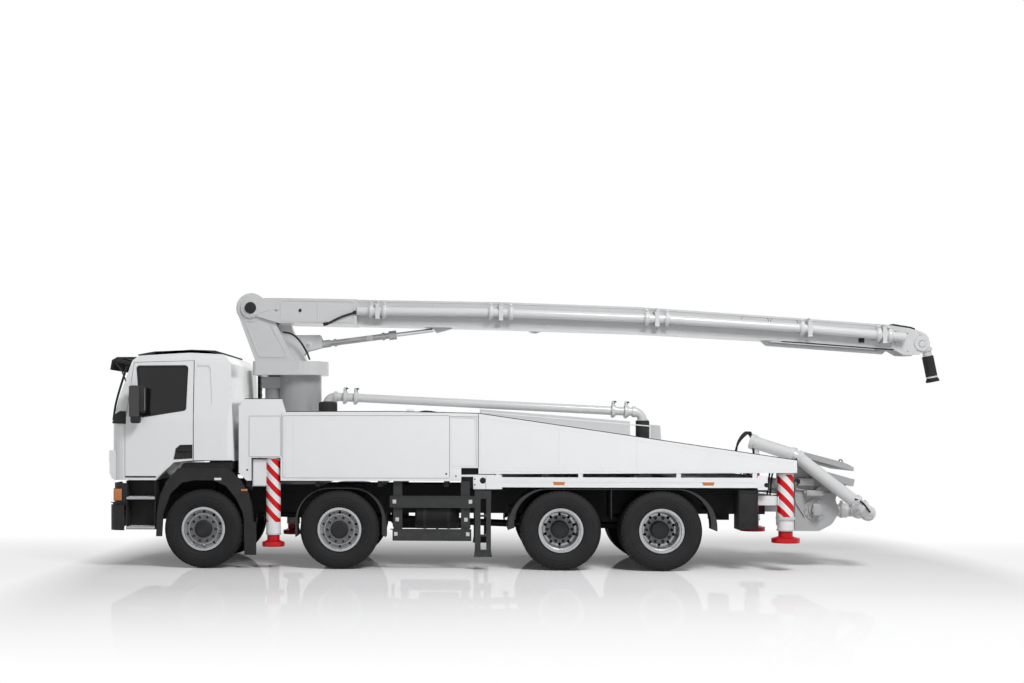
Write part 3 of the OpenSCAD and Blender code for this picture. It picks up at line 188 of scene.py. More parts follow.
def makeRim(name, s):
    grey = s["grey"]
    f = Finish(name, grey, 0.3, 0.75, 0.1)
    px, _, pz = f.axes()
    away = None
    for x in axleX:
        along, up = px - (x + offset), pz - axleZ
        reach = (along * along + up * up).root()
        away = reach if away is None else f.node("ShaderNodeMath", dict(operation="MINIMUM"), [away, reach])
    dirt = f.ramp(f.noise(7), 0.4, 0.7)
    # painted shade: hub and disc are darkened inside the bright outer ring, as the deep dish would be shaded
    tone = f.mix(away > s["hub"], s["dark"], f.mix(away > s["disc"], grey, s["bright"]))
    f.feed("Base Color", f.mix(dirt * 0.2, tone, shade(grey, 0.6)))
    f.feed("Roughness", f.ramp(dirt, 0, 1.0, 0.24, 0.42))
    f.bump(f.noise(90, 2.0), 0.02, 0.0004)
    return f.material


# Dark moulded plastic with a fine grain
def makePlastic(name, colour, roughness=0.55):
    f = Finish(name, colour, roughness, Specular_IOR_Level=0.2)
    f.feed("Base Color", f.mix(f.ramp(f.noise(5, 4.0), 0.35, 0.7), colour, shade(colour, 1.35)))
    f.feed("Roughness", f.ramp(f.noise(22, 3.0), 0.3, 0.7, roughness * 0.85, min(1, roughness * 1.2)))
    f.bump(f.noise(900, 2.0), 0.12, 0.0006)
    return f.material


# Bare or plated metal
def makeMetal(name, colour, roughness, scale=60):
    f = Finish(name, colour, roughness, 1.0)
    grain = f.noise(scale, 4.0, 0.6)
    f.feed("Base Color", f.mix(f.ramp(grain, 0.3, 0.75), colour, shade(colour, 0.82)))
    f.feed("Roughness", f.ramp(grain, 0.3, 0.75, roughness * 0.8, min(1, roughness * 1.35)))
    f.bump(grain, 0.05, 0.0004)
    return f.material


def makeRubber(name, colour, roughness):
    f = Finish(name, colour, roughness, Specular_IOR_Level=0.2)
    dusty = f.noise(7, 5.0, 0.62)
    f.feed("Base Color", f.mix(f.ramp(dusty, 0.42, 0.75), colour, shade(colour, 1.5)))
    f.feed("Roughness", f.ramp(dusty, 0.3, 0.7, roughness * 0.9, min(1, roughness * 1.15)))
    f.bump(f.noise(260, 3.0), 0.15, 0.0008)
    return f.material


# Leg tubes: white paint with slanting red bands between two heights
legSet = dict(pitch=0.195, slant=1.05, base=(0.78, 0.785, 0.79), red=(0.6, 0.002, 0.006), margin=0.006)


def makeStripes(name, s, leg, radius, bottom, top):
    base, red = s["base"], s["red"]
    f = Finish(name, base, 0.36, 0, 0.1, Coat_Roughness=0.12, Specular_IOR_Level=0.25)
    px, py, pz = f.axes()
    along, across = px - (leg[0] + offset), abs(py) - leg[1]
    away = (along * along + across * across).root()
    onTube = (away < radius + s["margin"]) * pz.within(bottom, top)
    band = ((pz + along * s["slant"]) / s["pitch"]).part() > 0.5
    cloud = f.ramp(f.noise(3, 4.0), 0.4, 0.7)
    red = f.mix(cloud, red, shade(red, 0.93))
    f.feed("Base Color", f.mix(onTube * band, f.mix(cloud, base, shade(base, 0.97)), red))
    f.bump(f.noise(420, 1.0), 0.01, 0.0004)
    return f.material


def makeGlass(name, colour):
    f = Finish(name, colour, 0.1, 0, 0.15, Alpha=0.985, Coat_Roughness=0.05, Specular_IOR_Level=0.3)
    f.feed("Base Color", f.mix(f.ramp(f.noise(1.1, 2.0), 0.4, 0.62), colour, shade(colour, 1.8)))
    f.feed("Roughness", f.ramp(f.noise(6, 3.0), 0.35, 0.7, 0.08, 0.14))
    return f.material


def makeLamp(name, colour):
    f = Finish(name, colour, 0.18, 0, 0.8, Coat_Roughness=0.05)
    px, _, pz = f.axes()
    ribs = abs((px * 120).part() - 0.5) + abs((pz * 120).part() - 0.5)
    f.bump(ribs, 0.25, 0.001)
    f.feed("Base Color", f.mix(f.ramp(ribs, 0.2, 0.8), colour, shade(colour, 0.8)))
    return f.material


white = (0.8, 0.81, 0.82)
finishes = dict(
    tyre=makeRubber("tyre rubber", (0.016, 0.016, 0.017), 0.7),
    wheel_silver=makeRim("wheel silver", rimSet),
    chassis_black=makePaint("chassis black", (0.014, 0.014, 0.015), 0.5, 0, 1.2, 0.06, 0.2),
    dark_grey=makePlastic("dark grey plastic", (0.022, 0.022, 0.022)),
    guard_grey=makePaint("guard grey", (0.034, 0.035, 0.036), 0.45, 0, 1.2, 0.06, 0.25),
    boom_white=makePaint("boom white", (0.58, 0.585, 0.59), 0.3, 0.4, 0.6, 0.05),
    panel_white=makePaint("panel white", white, 0.26, 0.5, 1.35, 0.04),
    machine_steel=makeMetal("machine steel", (0.42, 0.43, 0.44), 0.42),
    hopper_grey=makePaint("hopper grey", (0.4, 0.405, 0.41), 0.42, 0.15, 1.3, 0.1),
    pipe_paint=makePaint("pipe paint", (0.62, 0.625, 0.63), 0.26, 0.5, 1.0, 0.05),
    cab_white=makePaint("cab white", white, 0.2, 0.7, 1.4, 0.03),
    dark_glass=makeGlass("dark glass", (0.008, 0.008, 0.009)),
    cab_plastic=makePlastic("cab plastic", (0.05, 0.05, 0.055), 0.6),
    hose_rubber=makeRubber("hose rubber", (0.02, 0.02, 0.021), 0.6),
    foot_red=makePaint("foot red", (0.5, 0.002, 0.007), 0.35, 0.1, 0.7, 0.03, 0.3),
    cylinder_paint=makePaint("cylinder paint", (0.45, 0.455, 0.46), 0.3, 0.4, 0.6, 0.05),
    rod_chrome=makeMetal("rod chrome", (0.82, 0.83, 0.84), 0.12, 40),
    amber=makeLamp("amber lens", (0.56, 0.16, 0.012)), red=makeLamp("red lens", (0.55, 0.01, 0.012)),
    clear=makeLamp("clear lens", (0.8, 0.82, 0.84)))
# Nodes that don't take the finish of their slot
beamFinish = makeStripes("front leg paint", legSet, frontLeg, 0.1, 0.637, 1.524)
doorFinish = makePaint("door paint", white, 0.2, 0.7, 1.4, 0.03, outer=(1.27, (0.012, 0.012, 0.012)))
ownFinishes = dict(
    beam_left=beamFinish, beam_right=beamFinish, door_left=doorFinish, door_right=doorFinish,
    outrigger_box=makeStripes("rear leg paint", legSet, rearLeg, 0.1085, 0.732, 1.31),
    pedestal=makePaint("column paint", (0.33, 0.335, 0.34), 0.28, 0.3, 0.6, 0.05))


def dressNodes():
    slots = {s["node"]: s["material_slot"] for s in frame["record"]["subparts"]}
    for name, obj in nodes.items():
        obj.data.materials.clear()
        obj.data.materials.append(ownFinishes.get(name) or finishes[slots[name]])


dressNodes()
print("nodes dressed")

# Stage: pale glossy floor, soft lamps. The floor shows plain white away from the truck, so it stays
# shaded only between the two ends and within the fade
stageSet = dict(size=60, keyPower=2350, fillPower=60, world=0.27, lift=0.02, ends=(5.2, 6.6),
                fade=(0.42, 1.3))


def makeStage(s):
    bm = bmesh.new()
    bmesh.ops.create_grid(bm, x_segments=1, y_segments=1, size=s["size"])
    mesh = bpy.data.meshes.new("floor")
    bm.to_mesh(mesh)
    bm.free()
    floor = bpy.data.objects.new("floor", mesh)
    bpy.context.scene.collection.objects.link(floor)
    f = Finish("floor", (0.84, 0.84, 0.85), 0.6, 0, 0.22, Coat_Roughness=0.03, Specular_IOR_Level=0.0)
    px, py, _ = f.axes()
    side = f.ramp(abs(px), *s["ends"])
    reach = (side * side + ((py + 1) * (py + 1)) / 40).root()
    glow = f.node("ShaderNodeEmission", values={"Color": (1, 1, 1, 1), "Strength": 1.0})
    share = f.seen() * f.ramp(reach, *s["fade"], s["lift"], 1.0)
    both = f.node("ShaderNodeMixShader", values={0: share, 1: Wire(f, f.shader.outputs[0]), 2: glow})
    out = next(n for n in f.tree.nodes if n.type == "OUTPUT_MATERIAL")
    f.tree.links.new(both.socket, out.inputs["Surface"])
    mesh.materials.append(f.material)

    world = bpy.data.worlds.new("studio")
    bpy.context.scene.world = world
    sky = Graph(world, "BACKGROUND")
    sky.shader.inputs["Color"].default_value = (1, 1, 1, 1)
    sky.feed("Strength", s["world"] + sky.seen() * (1 - s["world"]))

    lamps = [  # place, aim, size, power
        ((5, -12, 14), (0, 0, 1.5), 6, s["keyPower"]),
        ((-11, -10, 6), (-1, 0, 1.5), 8, s["fillPower"]),
        ((0, 12, 9), (0, 0, 1.5), 9, s["fillPower"])]
    for k, (place, aim, size, power) in enumerate(lamps):
        data = bpy.data.lights.new(f"lamp {k}", "AREA")
        data.energy, data.size = power, size
        lamp = bpy.data.objects.new(f"lamp {k}", data)
        lamp.location = place
        lamp.rotation_euler = (Vector(aim) - Vector(place)).to_track_quat("-Z", "Y").to_euler()
        bpy.context.scene.collection.objects.link(lamp)
    bpy.context.scene.view_settings.view_transform = "Standard"


makeStage(stageSet)
print("stage ready")

# Least angle of an edge that is bevelled, angle below which faces shade smoothly, gap that a pole closes
toolSet = dict(bevelFrom=0.6, smoothBelow=math.radians(34), poleGap=0.0001)
frameSlots = {m["slot"] for m in frame["record"]["materials"]}
bothSides = (("left", -1), ("right", 1))


# Shapes in drawing metres, gathered into one piece that rides a body
class Piece:
    def __init__(self, name, finish, body="chassis"):
        self.name, self.finish, self.body = name, finish, body
        self.bm = bmesh.new()

    def at(self, p):
        return Vector((p[0] + offset, p[1], p[2]))

    def soften(self, verts, width, segments=2):
        inside = set(verts)
        edges = [e for e in self.bm.edges if e.verts[0] in inside and e.verts[1] in inside
                 and len(e.link_faces) == 2 and e.calc_face_angle(0) > toolSet["bevelFrom"]]
        bmesh.ops.bevel(self.bm, geom=edges, offset=width, offset_type="OFFSET", segments=segments,
                        profile=0.5, affect="EDGES", clamp_overlap=True, material=-1)

    def box(self, low, high, bevel=0.0, segments=2, turn=None):
        a, b = self.at(low), self.at(high)
        size = Matrix.Diagonal((*[abs(v) for v in b - a], 1))
        turned = turn.to_4x4() if turn else Matrix()
        made = bmesh.ops.create_cube(self.bm, size=1, matrix=Matrix.Translation((a + b) / 2) @ turned @ size)
        if bevel:
            self.soften(made["verts"], bevel, segments)

    def rod(self, a, b, radius, end=None, sides=24, bevel=0.0):
        a, b = self.at(a), self.at(b)
        way = b - a
        turn = way.to_track_quat("Z", "Y").to_matrix().to_4x4()
        made = bmesh.ops.create_cone(self.bm, cap_ends=True, segments=sides, radius1=radius,
                                     radius2=radius if end is None else end, depth=way.length,
                                     matrix=Matrix.Translation((a + b) / 2) @ turn)
        if bevel:
            self.soften(made["verts"], bevel)

    def face(self, outline, y):
        made = self.bm.faces.new([self.bm.verts.new(self.at((x, y, z))) for x, z in outline])
        made.normal_update()
        return made

    def thicken(self, faces, far):  # gives flat faces a thickness along y
        made = bmesh.ops.extrude_face_region(self.bm, geom=faces)["geom"]
        bmesh.ops.translate(self.bm, verts=onlyVerts(made), vec=(0, far, 0))

    def prism(self, outline, y0, y1):
        self.thicken([self.face(outline, y0)], y1 - y0)

    def band(self, outline, width, y0, y1):  # a flat ring inside a closed outline
        face = self.face(outline, y0)
        ring = bmesh.ops.inset_region(self.bm, faces=[face], thickness=width, use_boundary=True,
                                      use_even_offset=True)["faces"]
        bmesh.ops.delete(self.bm, geom=[face], context="FACES_ONLY")
        self.thicken(ring, y1 - y0)

    def spin(self, profile, centre, axis=(0, 1, 0), steps=48):  # profile is (radius, way along axis)
        axis = Vector(axis).normalized()
        side = axis.orthogonal().normalized()
        middle, before = self.at(centre), set(self.bm.verts)
        line = [self.bm.verts.new(middle + side * r + axis * h) for r, h in profile]
        ends = line[1:] + line[:1] if profile[0][0] else line[1:]  # one that starts on the axis stays open
        edges = [self.bm.edges.new(pair) for pair in zip(line, ends)]
        bmesh.ops.spin(self.bm, geom=line + edges, cent=middle, axis=axis, angle=2 * math.pi, steps=steps,
                       use_merge=True)
        made = [v for v in self.bm.verts if v not in before]
        bmesh.ops.remove_doubles(self.bm, verts=made, dist=toolSet["poleGap"])

    def tube(self, points, radius, sides=12, smooth=6):
        path = curve([self.at(p) for p in points], smooth)
        rings, side = [], None
        for k, p in enumerate(path):
            way = (path[min(k + 1, len(path) - 1)] - path[max(k - 1, 0)]).normalized()
            side = way.orthogonal() if side is None else side - way * side.dot(way)
            side.normalize()
            up = way.cross(side)
            rings.append([self.bm.verts.new(p + (side * math.cos(t) + up * math.sin(t)) * radius)
                          for t in [2 * math.pi * j / sides for j in range(sides)]])
        for here, there in zip(rings, rings[1:]):
            for j in range(sides):
                n = (j + 1) % sides
                self.bm.faces.new((here[j], here[n], there[n], there[j]))
        self.bm.faces.new(rings[0][::-1])
        self.bm.faces.new(rings[-1])

    def bolt(self, place, size, way=(0, 1, 0), washer=True):
        place, way = Vector(place), Vector(way).normalized()
        if washer:
            self.rod(place - way * 0.002, place + way * size * 0.25, size * 1.15, sides=16)
        self.rod(place, place + way * size * 0.95, size * 0.85, sides=6, bevel=size * 0.1)

    def clamp(self, place, way, radius, width, lug=(0, 0, 1)):  # two-shell pipe clamp with its bolt
        place, way, lug = Vector(place), Vector(way).normalized(), Vector(lug)
        w, across, foot = width / 2, way.cross(lug).normalized(), place + lug * (radius + 0.03)
        self.spin([(radius, -w), (radius + 0.012, -w), (radius + 0.02, -w * 0.5), (radius + 0.02, w * 0.5),
                   (radius + 0.012, w), (radius, w)], place, way, 40)
        for s in (-1, 1):
            self.rod(foot + across * 0.006 * s, foot + across * 0.026 * s, 0.022, sides=12, bevel=0.003)
        self.rod(foot - across * 0.045, foot + across * 0.045, 0.008, sides=8)

    def mirror(self, keep=True):  # over the middle plane; without keep the shapes only change sides
        geom = self.bm.verts[:] + self.bm.edges[:] + self.bm.faces[:]
        if keep:
            geom = bmesh.ops.duplicate(self.bm, geom=geom)["geom"]
        bmesh.ops.scale(self.bm, vec=(1, -1, 1), verts=onlyVerts(geom))
        return self

    def done(self, out=1):  # shapes are drawn on the right, and out=-1 puts them on the left
        if out < 0:
            self.mirror(False)
        bmesh.ops.recalc_face_normals(self.bm, faces=self.bm.faces)
        mesh = bpy.data.meshes.new(self.name)
        self.bm.to_mesh(mesh)
        self.bm.free()
        mesh.shade_smooth()
        mesh.set_sharp_from_angle(angle=toolSet["smoothBelow"])
        mesh.materials.append(finishes[self.finish])
        made = bpy.data.objects.new(self.name, mesh)
        bpy.context.scene.collection.objects.link(made)
        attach(made, self.body)
        self.finish in frameSlots
        return made


def onlyVerts(geom):
    return [v for v in geom if isinstance(v, bmesh.types.BMVert)]


def ringed(inner, outer, low, high):  # profile of a flat round plate, or of a sleeve
    return [(inner, low), (outer, low), (outer, high), (inner, high)]


def collar(inner, outer, step, crown, high):  # profile of a round plate with its edge cut back
    return [(inner, 0), (outer, 0), (outer, step), (crown, high), (inner, high)]


def around(x, z, radius, count, shift=0.0):  # places on a circle
    turns = [2 * math.pi * (k + shift) / count for k in range(count)]
    return [(x + radius * math.cos(t), z + radius * math.sin(t)) for t in turns]


def curve(points, steps):  # smooth path through points
    if steps < 2 or len(points) < 3:
        return points
    ends = [points[0] * 2 - points[1]] + points + [points[-1] * 2 - points[-2]]
    path = []
    for k in range(1, len(ends) - 2):
        a, b, c, d = ends[k - 1:k + 3]
        for j in range(steps):
            t = j / steps
            path.append(((b * 2) + (c - a) * t + (a * 2 - b * 5 + c * 4 - d) * t * t
                         + (b * 3 - a - c * 3 + d) * t * t * t) / 2)
    return path + [points[-1]]


def rounded(points, radius, steps=5):  # outline in x and z with its corners rounded
    flat = [Vector(p) for p in points]
    out = []
    for k, p in enumerate(flat):
        u = (flat[k - 1] - p).normalized()
        v = (flat[(k + 1) % len(flat)] - p).normalized()
        half = u.angle(v) / 2
        middle = p + (u + v).normalized() * radius / math.sin(half)
        start = p + u * radius / math.tan(half) - middle
        end = p + v * radius / math.tan(half) - middle
        for j in range(steps + 1):
            out.append(tuple(middle + start.slerp(end, j / steps).normalized() * radius))
    return out


def level(line, x):  # height of a line of points at x
    for (xa, za), (xb, zb) in zip(line, line[1:]):
        if x <= xb:
            return za + (zb - za) * (x - xa) / (xb - xa)
    return line[-1][1]


# Wheels: carcass with ringed side walls, tread blocks, valve and dark hub caps
# A front axle has one tyre a side, a rear one two: distance from the middle plane and width
tyreSet = dict(radius=0.5395, tread=0.016, bead=0.283, blocks=54,
               single=(1.0925, 0.3145), twin=((1.1075, 0.2845), (0.7775, 0.2845)), frontAxles=2,
               nuts=10, nutCircle=0.1675)
# Rim flange, hub face and hub depth of a front and a rear wheel
frontHub = dict(lip=1.205, face=1.2355, depth=0.045)
rearHub = dict(lip=0.965, face=1.0745, depth=0.11)


def tyreProfile(s, w):
    half, skin = w / 2, s["radius"] - s["tread"]
    side = [(s["bead"], 0.7), (0.303, 0.745), (0.313, 0.8), (0.318, 0.86), (0.334, 0.885), (0.345, 0.91),
            (0.349, 0.94), (0.365, 0.975), (0.372, 0.965), (0.376, 0.985), (0.405, 1.0), (0.425, 0.995),
            (0.429, 0.97), (0.437, 0.97), (0.441, 0.985), (0.462, 0.955), (0.482, 0.915), (0.5, 0.87),
            (0.515, 0.8), (skin, 0.74), (skin, 0.4)]
    return [(r, -h * half) for r, h in side] + [(r, h * half) for r, h in side[::-1]]


def addTyre(s, piece, x, y, w, out):
    piece.spin(tyreProfile(s, w), (x, y, axleZ), (0, 1, 0), 96)
    half, skin, top = w / 2, s["radius"] - s["tread"] - 0.004, s["radius"]
    ribs = [(-0.8, -0.5, 0.3, 0), (-0.44, -0.17, 0.16, 0.5), (-0.12, 0.12, 0.12, 0),
            (0.17, 0.44, -0.16, 0.5), (0.5, 0.8, -0.3, 0)]  # from, to, slant, shift
    for k in range(s["blocks"]):
        for low, high, slant, shift in ribs:
            block = bmesh.ops.create_cube(piece.bm, size=2)["verts"]
            base = min((f for v in block for f in v.link_faces), key=lambda f: f.calc_center_median().z)
            piece.bm.faces.remove(base)  # it would lie inside the carcass
            for v in block:
                along, across, outward = v.co  # each is -1 or 1
                edge, shrink = (top, 0.38) if outward > 0 else (skin, 0.43)
                h = high if across > 0 else low
                if outward > 0 and abs(h) > 0.7:
                    edge -= 0.006
                turn = 2 * math.pi / s["blocks"] * (k + shift + along * shrink + slant * across / 2)
                v.co = piece.at((x + edge * math.cos(turn), y + h * half, axleZ + edge * math.sin(turn)))
    inner, outer = [around(x, axleZ, radius, s["blocks"]) for radius in (0.487, 0.519)]
    for (ax, az), (bx, bz) in zip(inner, outer):  # shoulder ribs
        piece.rod((ax, y + out * half * 0.885, az), (bx, y + out * half * 0.765, bz), 0.006, 0.009, sides=4)


def makeWheels(s):
    z = axleZ
    for axle, x in enumerate(axleX, 1):
        front = axle <= s["frontAxles"]
        hub = frontHub if front else rearHub
        lip, face, depth = hub["lip"], hub["face"], hub["depth"]
        for side, out in bothSides:
            name, body = f"{axle}{side[0]}", f"wheel_{axle}{side[0]}"
            piece = Piece(f"roadTyre_{name}", "tyre", body)
            for y, w in ([s["single"]] if front else s["twin"]):
                addTyre(s, piece, x, y * out, w, out)
            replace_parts(piece.done(), f"tyre_{name}")
            # Valve and the pads between nuts
            trim = Piece(f"wheelTrim_{name}", "machine_steel", body)
            trim.tube([(x + 0.21, lip - 0.02, z), (x + 0.24, lip, z), (x + 0.262, lip + 0.012, z)],
                      0.006, 8, 4)
            cap = Piece(f"hubCap_{name}", "dark_grey", body)
            cap.spin([(0, -depth), (0.1185, -depth), (0.121, -depth + 0.003), (0.121, -0.016),
                      (0.108, -0.001), (0.09, 0.003), (0.06, 0.004), (0.058, 0.0015), (0, 0.0015)],
                     (x, face, z), steps=56)
            for px, pz in around(x, z, s["nutCircle"], s["nuts"]):
                trim.rod((px, lip, pz), (px, lip + 0.007, pz), 0.027, 0.024, 20)
                cap.rod((px, lip + 0.004, pz), (px, lip + 0.034, pz), 0.0225, 0.018, 18, 0.004)
            for px, pz in around(x, z, 0.083, 8, 0.5):
                cap.bolt((px, face + 0.003, pz), 0.009)
            trim.done(out)
            cap.done(out)


makeWheels(tyreSet)
print("wheels done")

# Cab: seals, mirrors, lamps, wipers and handles
cabSet = dict(window=[(-5.29, 2.06), (-5.36, 2.782), (-4.632, 2.784), (-4.654, 2.16)], leanFrom=2.03,
              lean=0.095, mirror=(-5.4, -5.19), wipers=(-0.62, 0.02, 0.6), struts=(-1.08, -0.4, 0.4, 1.08),
              cornerSlant=12.5)


def leaned(piece, s):  # lays flat side pieces onto the skin, which leans in above a height
    for v in piece.bm.verts:
        v.co.y -= max(0, v.co.z - s["leanFrom"]) * s["lean"]


def makeCabSides(s):
    for side, out in bothSides:
        body = f"{side}_door"
        seal = Piece(f"windowSeal_{side}", "dark_grey", body)
        seal.band(rounded(s["window"], 0.045, 6), 0.02, 1.254, 1.236)
        leaned(seal, s)
        seal.done(out)
        handle = Piece(f"doorHandle_{side}", "dark_grey", body)
        handle.prism([(-4.832, 1.488), (-4.797, 1.637), (-4.738, 1.687), (-4.57, 1.691), (-4.57, 1.504)],
                     1.226, 1.2285)
        handle.box((-4.8, 1.233, 1.6), (-4.6, 1.247, 1.635), 0.006, 3)
        for x in (-4.8, -4.625):
            handle.box((x, 1.226, 1.602), (x + 0.025, 1.245, 1.633), 0.004)
        handle.rod((-4.65, 1.228, 1.555), (-4.65, 1.2345, 1.555), 0.013, 0.012, 20)
        handle.done(out)
        # Mirror housings, arms and glass
        mirror = Piece(f"mirrorHead_{side}", "dark_grey", body)
        low, high = s["mirror"]
        mirror.box((low - 0.005, 1.302, 2.125), (high, 1.446, 2.5), 0.032, 4)
        mirror.box((low + 0.012, 1.308, 1.985), (high - 0.07, 1.442, 2.115), 0.03, 4)
        mirror.tube([(-5.37, 1.2, 2.445), (-5.37, 1.3, 2.452), (-5.365, 1.35, 2.4)], 0.016, 12)
        mirror.tube([(-5.37, 1.22, 2.135), (-5.37, 1.3, 2.14), (-5.365, 1.35, 2.22)], 0.016, 12)
        mirror.tube([(-5.375, 1.33, 2.45), (-5.375, 1.318, 2.28), (-5.375, 1.33, 2.03)], 0.012, 10)
        mirror.box((-5.41, 1.2, 2.1), (-5.33, 1.256, 2.17), 0.012, 3)
        mirror.box((-5.41, 1.18, 2.41), (-5.33, 1.246, 2.48), 0.012, 3)
        mirror.done(out)
        glass = Piece(f"mirrorGlass_{side}", "rod_chrome", body)
        glass.box((high - 0.0005, 1.332, 2.16), (high + 0.0025, 1.416, 2.466), 0.001, 1)
        glass.done(out)
        trim = Piece(f"doorTrim_{side}", "dark_grey", body)
        trim.prism([(-5.495, 1.245), (-5.495, 1.262), (-5.075, 1.262), (-5.068, 1.245)], 1.2505, 1.2535)
        trim.done(out)
        # Outline of the blind panel behind the door and the crease that runs back from it
        fold = Piece(f"quarterFold_{side}", "cab_white", "cab")
        fold.band(rounded([(-4.52, 2.19), (-4.52, 2.783), (-4.295, 2.783), (-4.295, 2.19)], 0.03), 0.009,
                  1.2495, 1.2535)
        fold.prism([(-4.55, 1.832), (-4.55, 1.84), (-4.2, 1.853), (-4.176, 1.845), (-4.166, 1.7),
                    (-4.174, 1.7), (-4.185, 1.838), (-4.205, 1.844)], 1.2495, 1.2535)
        leaned(fold, s)
        fold.done(out)


makeCabSides(cabSet)


def makeCabFront(s):
    trim = Piece("cabFrontTrim", "dark_grey", "cab")
    # Corner deflectors, the notch below each headlamp and the line of the wheel arch
    trim.prism([(-5.668, 1.982), (-5.658, 2.1), (-5.57, 2.154), (-5.49, 2.15), (-5.49, 1.978)],
               1.2505, 1.2555)
    trim.tube([(-5.66, 1.16, 2.82), (-5.565, 1.2, 2.72), (-5.5, 1.195, 2.56)], 0.011, 8)
    trim.tube([(-5.7, 1.1, 2.03), (-5.64, 1.16, 2.3), (-5.5, 1.14, 2.78)], 0.016, 8, 5)
    trim.box((-5.7855, 0.79, 1.415), (-5.76, 0.94, 1.437), 0.004)
    trim.tube([(-5.06, 1.249, 1.215), (-4.82, 1.249, 1.447), (-4.55, 1.249, 1.474), (-4.01, 1.249, 1.474)],
              0.0055, 6, 1)
    trim.mirror()
    for y in s["wipers"]:
        trim.rod((-5.716, y, 1.975), (-5.735, y, 1.975), 0.022, 0.018, 16)
        trim.tube([(-5.735, y, 1.975), (-5.724, y + 0.16, 2.16), (-5.678, y + 0.33, 2.33)], 0.008, 8, 4)
        trim.tube([(-5.716, y + 0.05, 2.11), (-5.678, y + 0.33, 2.33), (-5.632, y + 0.46, 2.56)], 0.011, 6, 4)
    for y in s["struts"]:  # of the visor
        trim.rod((-5.36, y, 2.89), (-5.4, y, 2.85), 0.016, sides=10)
        trim.rod((-5.6, y, 2.89), (-5.42, y, 2.83), 0.012, sides=10)
    trim.box((-5.716, -1.1, 1.985), (-5.7, 1.1, 2.018), 0.004)
    trim.done()
    lamps = Piece("headLamps", "rod_chrome", "cab")
    slant = math.radians(s["cornerSlant"])  # the lens lies on the slanting corner of the block
    lamps.box((-5.765, 1.005, 1.45), (-5.753, 1.155, 1.595), 0.005, 3, Matrix.Rotation(-slant, 3, "Z"))
    lamps.spin([(0, 0.006), (0.028, 0.005), (0.05, 0.002), (0.056, 0), (0, 0)], (-5.7645, 1.08, 1.522),
               (-math.cos(slant), math.sin(slant), 0), 32)
    lamps.mirror().done()
    back = Piece("cabRear", "dark_grey", "cab")
    # Air intake in the gap behind the cab, and the low wind strip over the roof
    back.box((-3.986, 0.93, 1.62), (-3.942, 1.13, 2.8), 0.02, 3)
    for k in range(12):
        back.box((-3.944, 0.95, 1.68 + k * 0.09), (-3.936, 1.11, 1.72 + k * 0.09), 0.004, 1)
    back.prism([(-5.42, 2.9), (-5.45, 2.958), (-5.216, 3.0), (-4.83, 3.014), (-4.48, 3.005), (-4.31, 2.96),
                (-4.33, 2.9)], -0.7, 0.7)
    back.done()


makeCabFront(cabSet)

# Marker lamps on the sides: place, half size, lens
markerSet = [((-5.604, 1.2365, 1.006), (0.055, 0.004, 0.08), "amber"),
             ((-4.216, 1.2465, 1.223), (0.048, 0.004, 0.016), "clear"),
             ((-3.851, 1.2465, 1.074), (0.042, 0.004, 0.014), "amber"),
             ((0.414, 1.2465, 1.176), (0.072, 0.004, 0.021), "amber"),
             ((2.39, 1.2465, 1.176), (0.072, 0.004, 0.021), "amber")]
seatEdge, seatDepth = 0.006, 0.012


def makeMarkers():
    for k, ((x, y, z), (dx, dy, dz), colour) in enumerate(markerSet):
        lens = Piece(f"marker_{k}", colour)
        lens.box((x - dx, y - dy, z - dz), (x + dx, y + dy, z + dz), 0.002, 3)
        lens.mirror().done()
        seat = Piece(f"markerSeat_{k}", "dark_grey")
        seat.box((x - dx - seatEdge, y - seatDepth, z - dz - seatEdge),
                 (x + dx + seatEdge, y - dy * 0.2, z + dz + seatEdge), 0.002)
        seat.mirror().done()
    front = Piece("bumperLamps", "clear")
    for y in (0.8, 0.98):
        front.rod((-5.735, y, 0.7), (-5.746, y, 0.7), 0.06, 0.052, 28, 0.004)
    front.mirror().done()
    tail = Piece("tailLamps", "red")
    tail.box((3.05, 0.93, 0.8), (3.058, 1.19, 0.9), 0.003, 3)
    tail.mirror().done()


makeMarkers()
print("cab done")

# Boom: stiffeners, pins, hoses and pipe clamps
# The pipe's line and the arm box's edges are points in x and z
boomSet = dict(pipeY=-0.275, armHalf=0.19, rootHalf=0.29, tipHalf=0.205, pipeClamp=0.0807,
               collars=(-2.18, -1.99, -0.48, -0.2, 1.7, 1.98, 3.84, 4.88, 5.03),
               saddles=(-2.085, -0.34, 1.84, 3.94, 4.955), ribs=(-1.3, 0.3, 1.2, 2.6, 3.3, 4.5),
               clips=(-2.2, -1.55, -0.85, -0.1, 0.75, 1.45, 2.25, 2.85, 3.6, 4.3),
               line=((-2.384, 3.587), (-0.48, 3.555), (1.98, 3.447), (3.84, 3.311), (4.88, 3.215),
                     (5.24, 3.18)),
               top=((-3.5, 3.781), (-0.351, 3.709), (1.616, 3.626), (3.828, 3.458), (4.921, 3.368),
                    (5.23, 3.335)),
               bottom=((-3.5, 3.421), (-0.351, 3.333), (1.616, 3.259), (3.828, 3.125), (4.921, 3.034),
                       (5.23, 3.01)),
               pin=(-3.908, 3.641), tip=(5.4939, 3.0907), knee=(0.1862, 3.4525), foot=(-3.11, 3.105),
               eye=(-1.275, 3.332), hoseTop=(5.866, 0.73, 2.965), hoseEnd=(5.941, 0.73, 2.59))


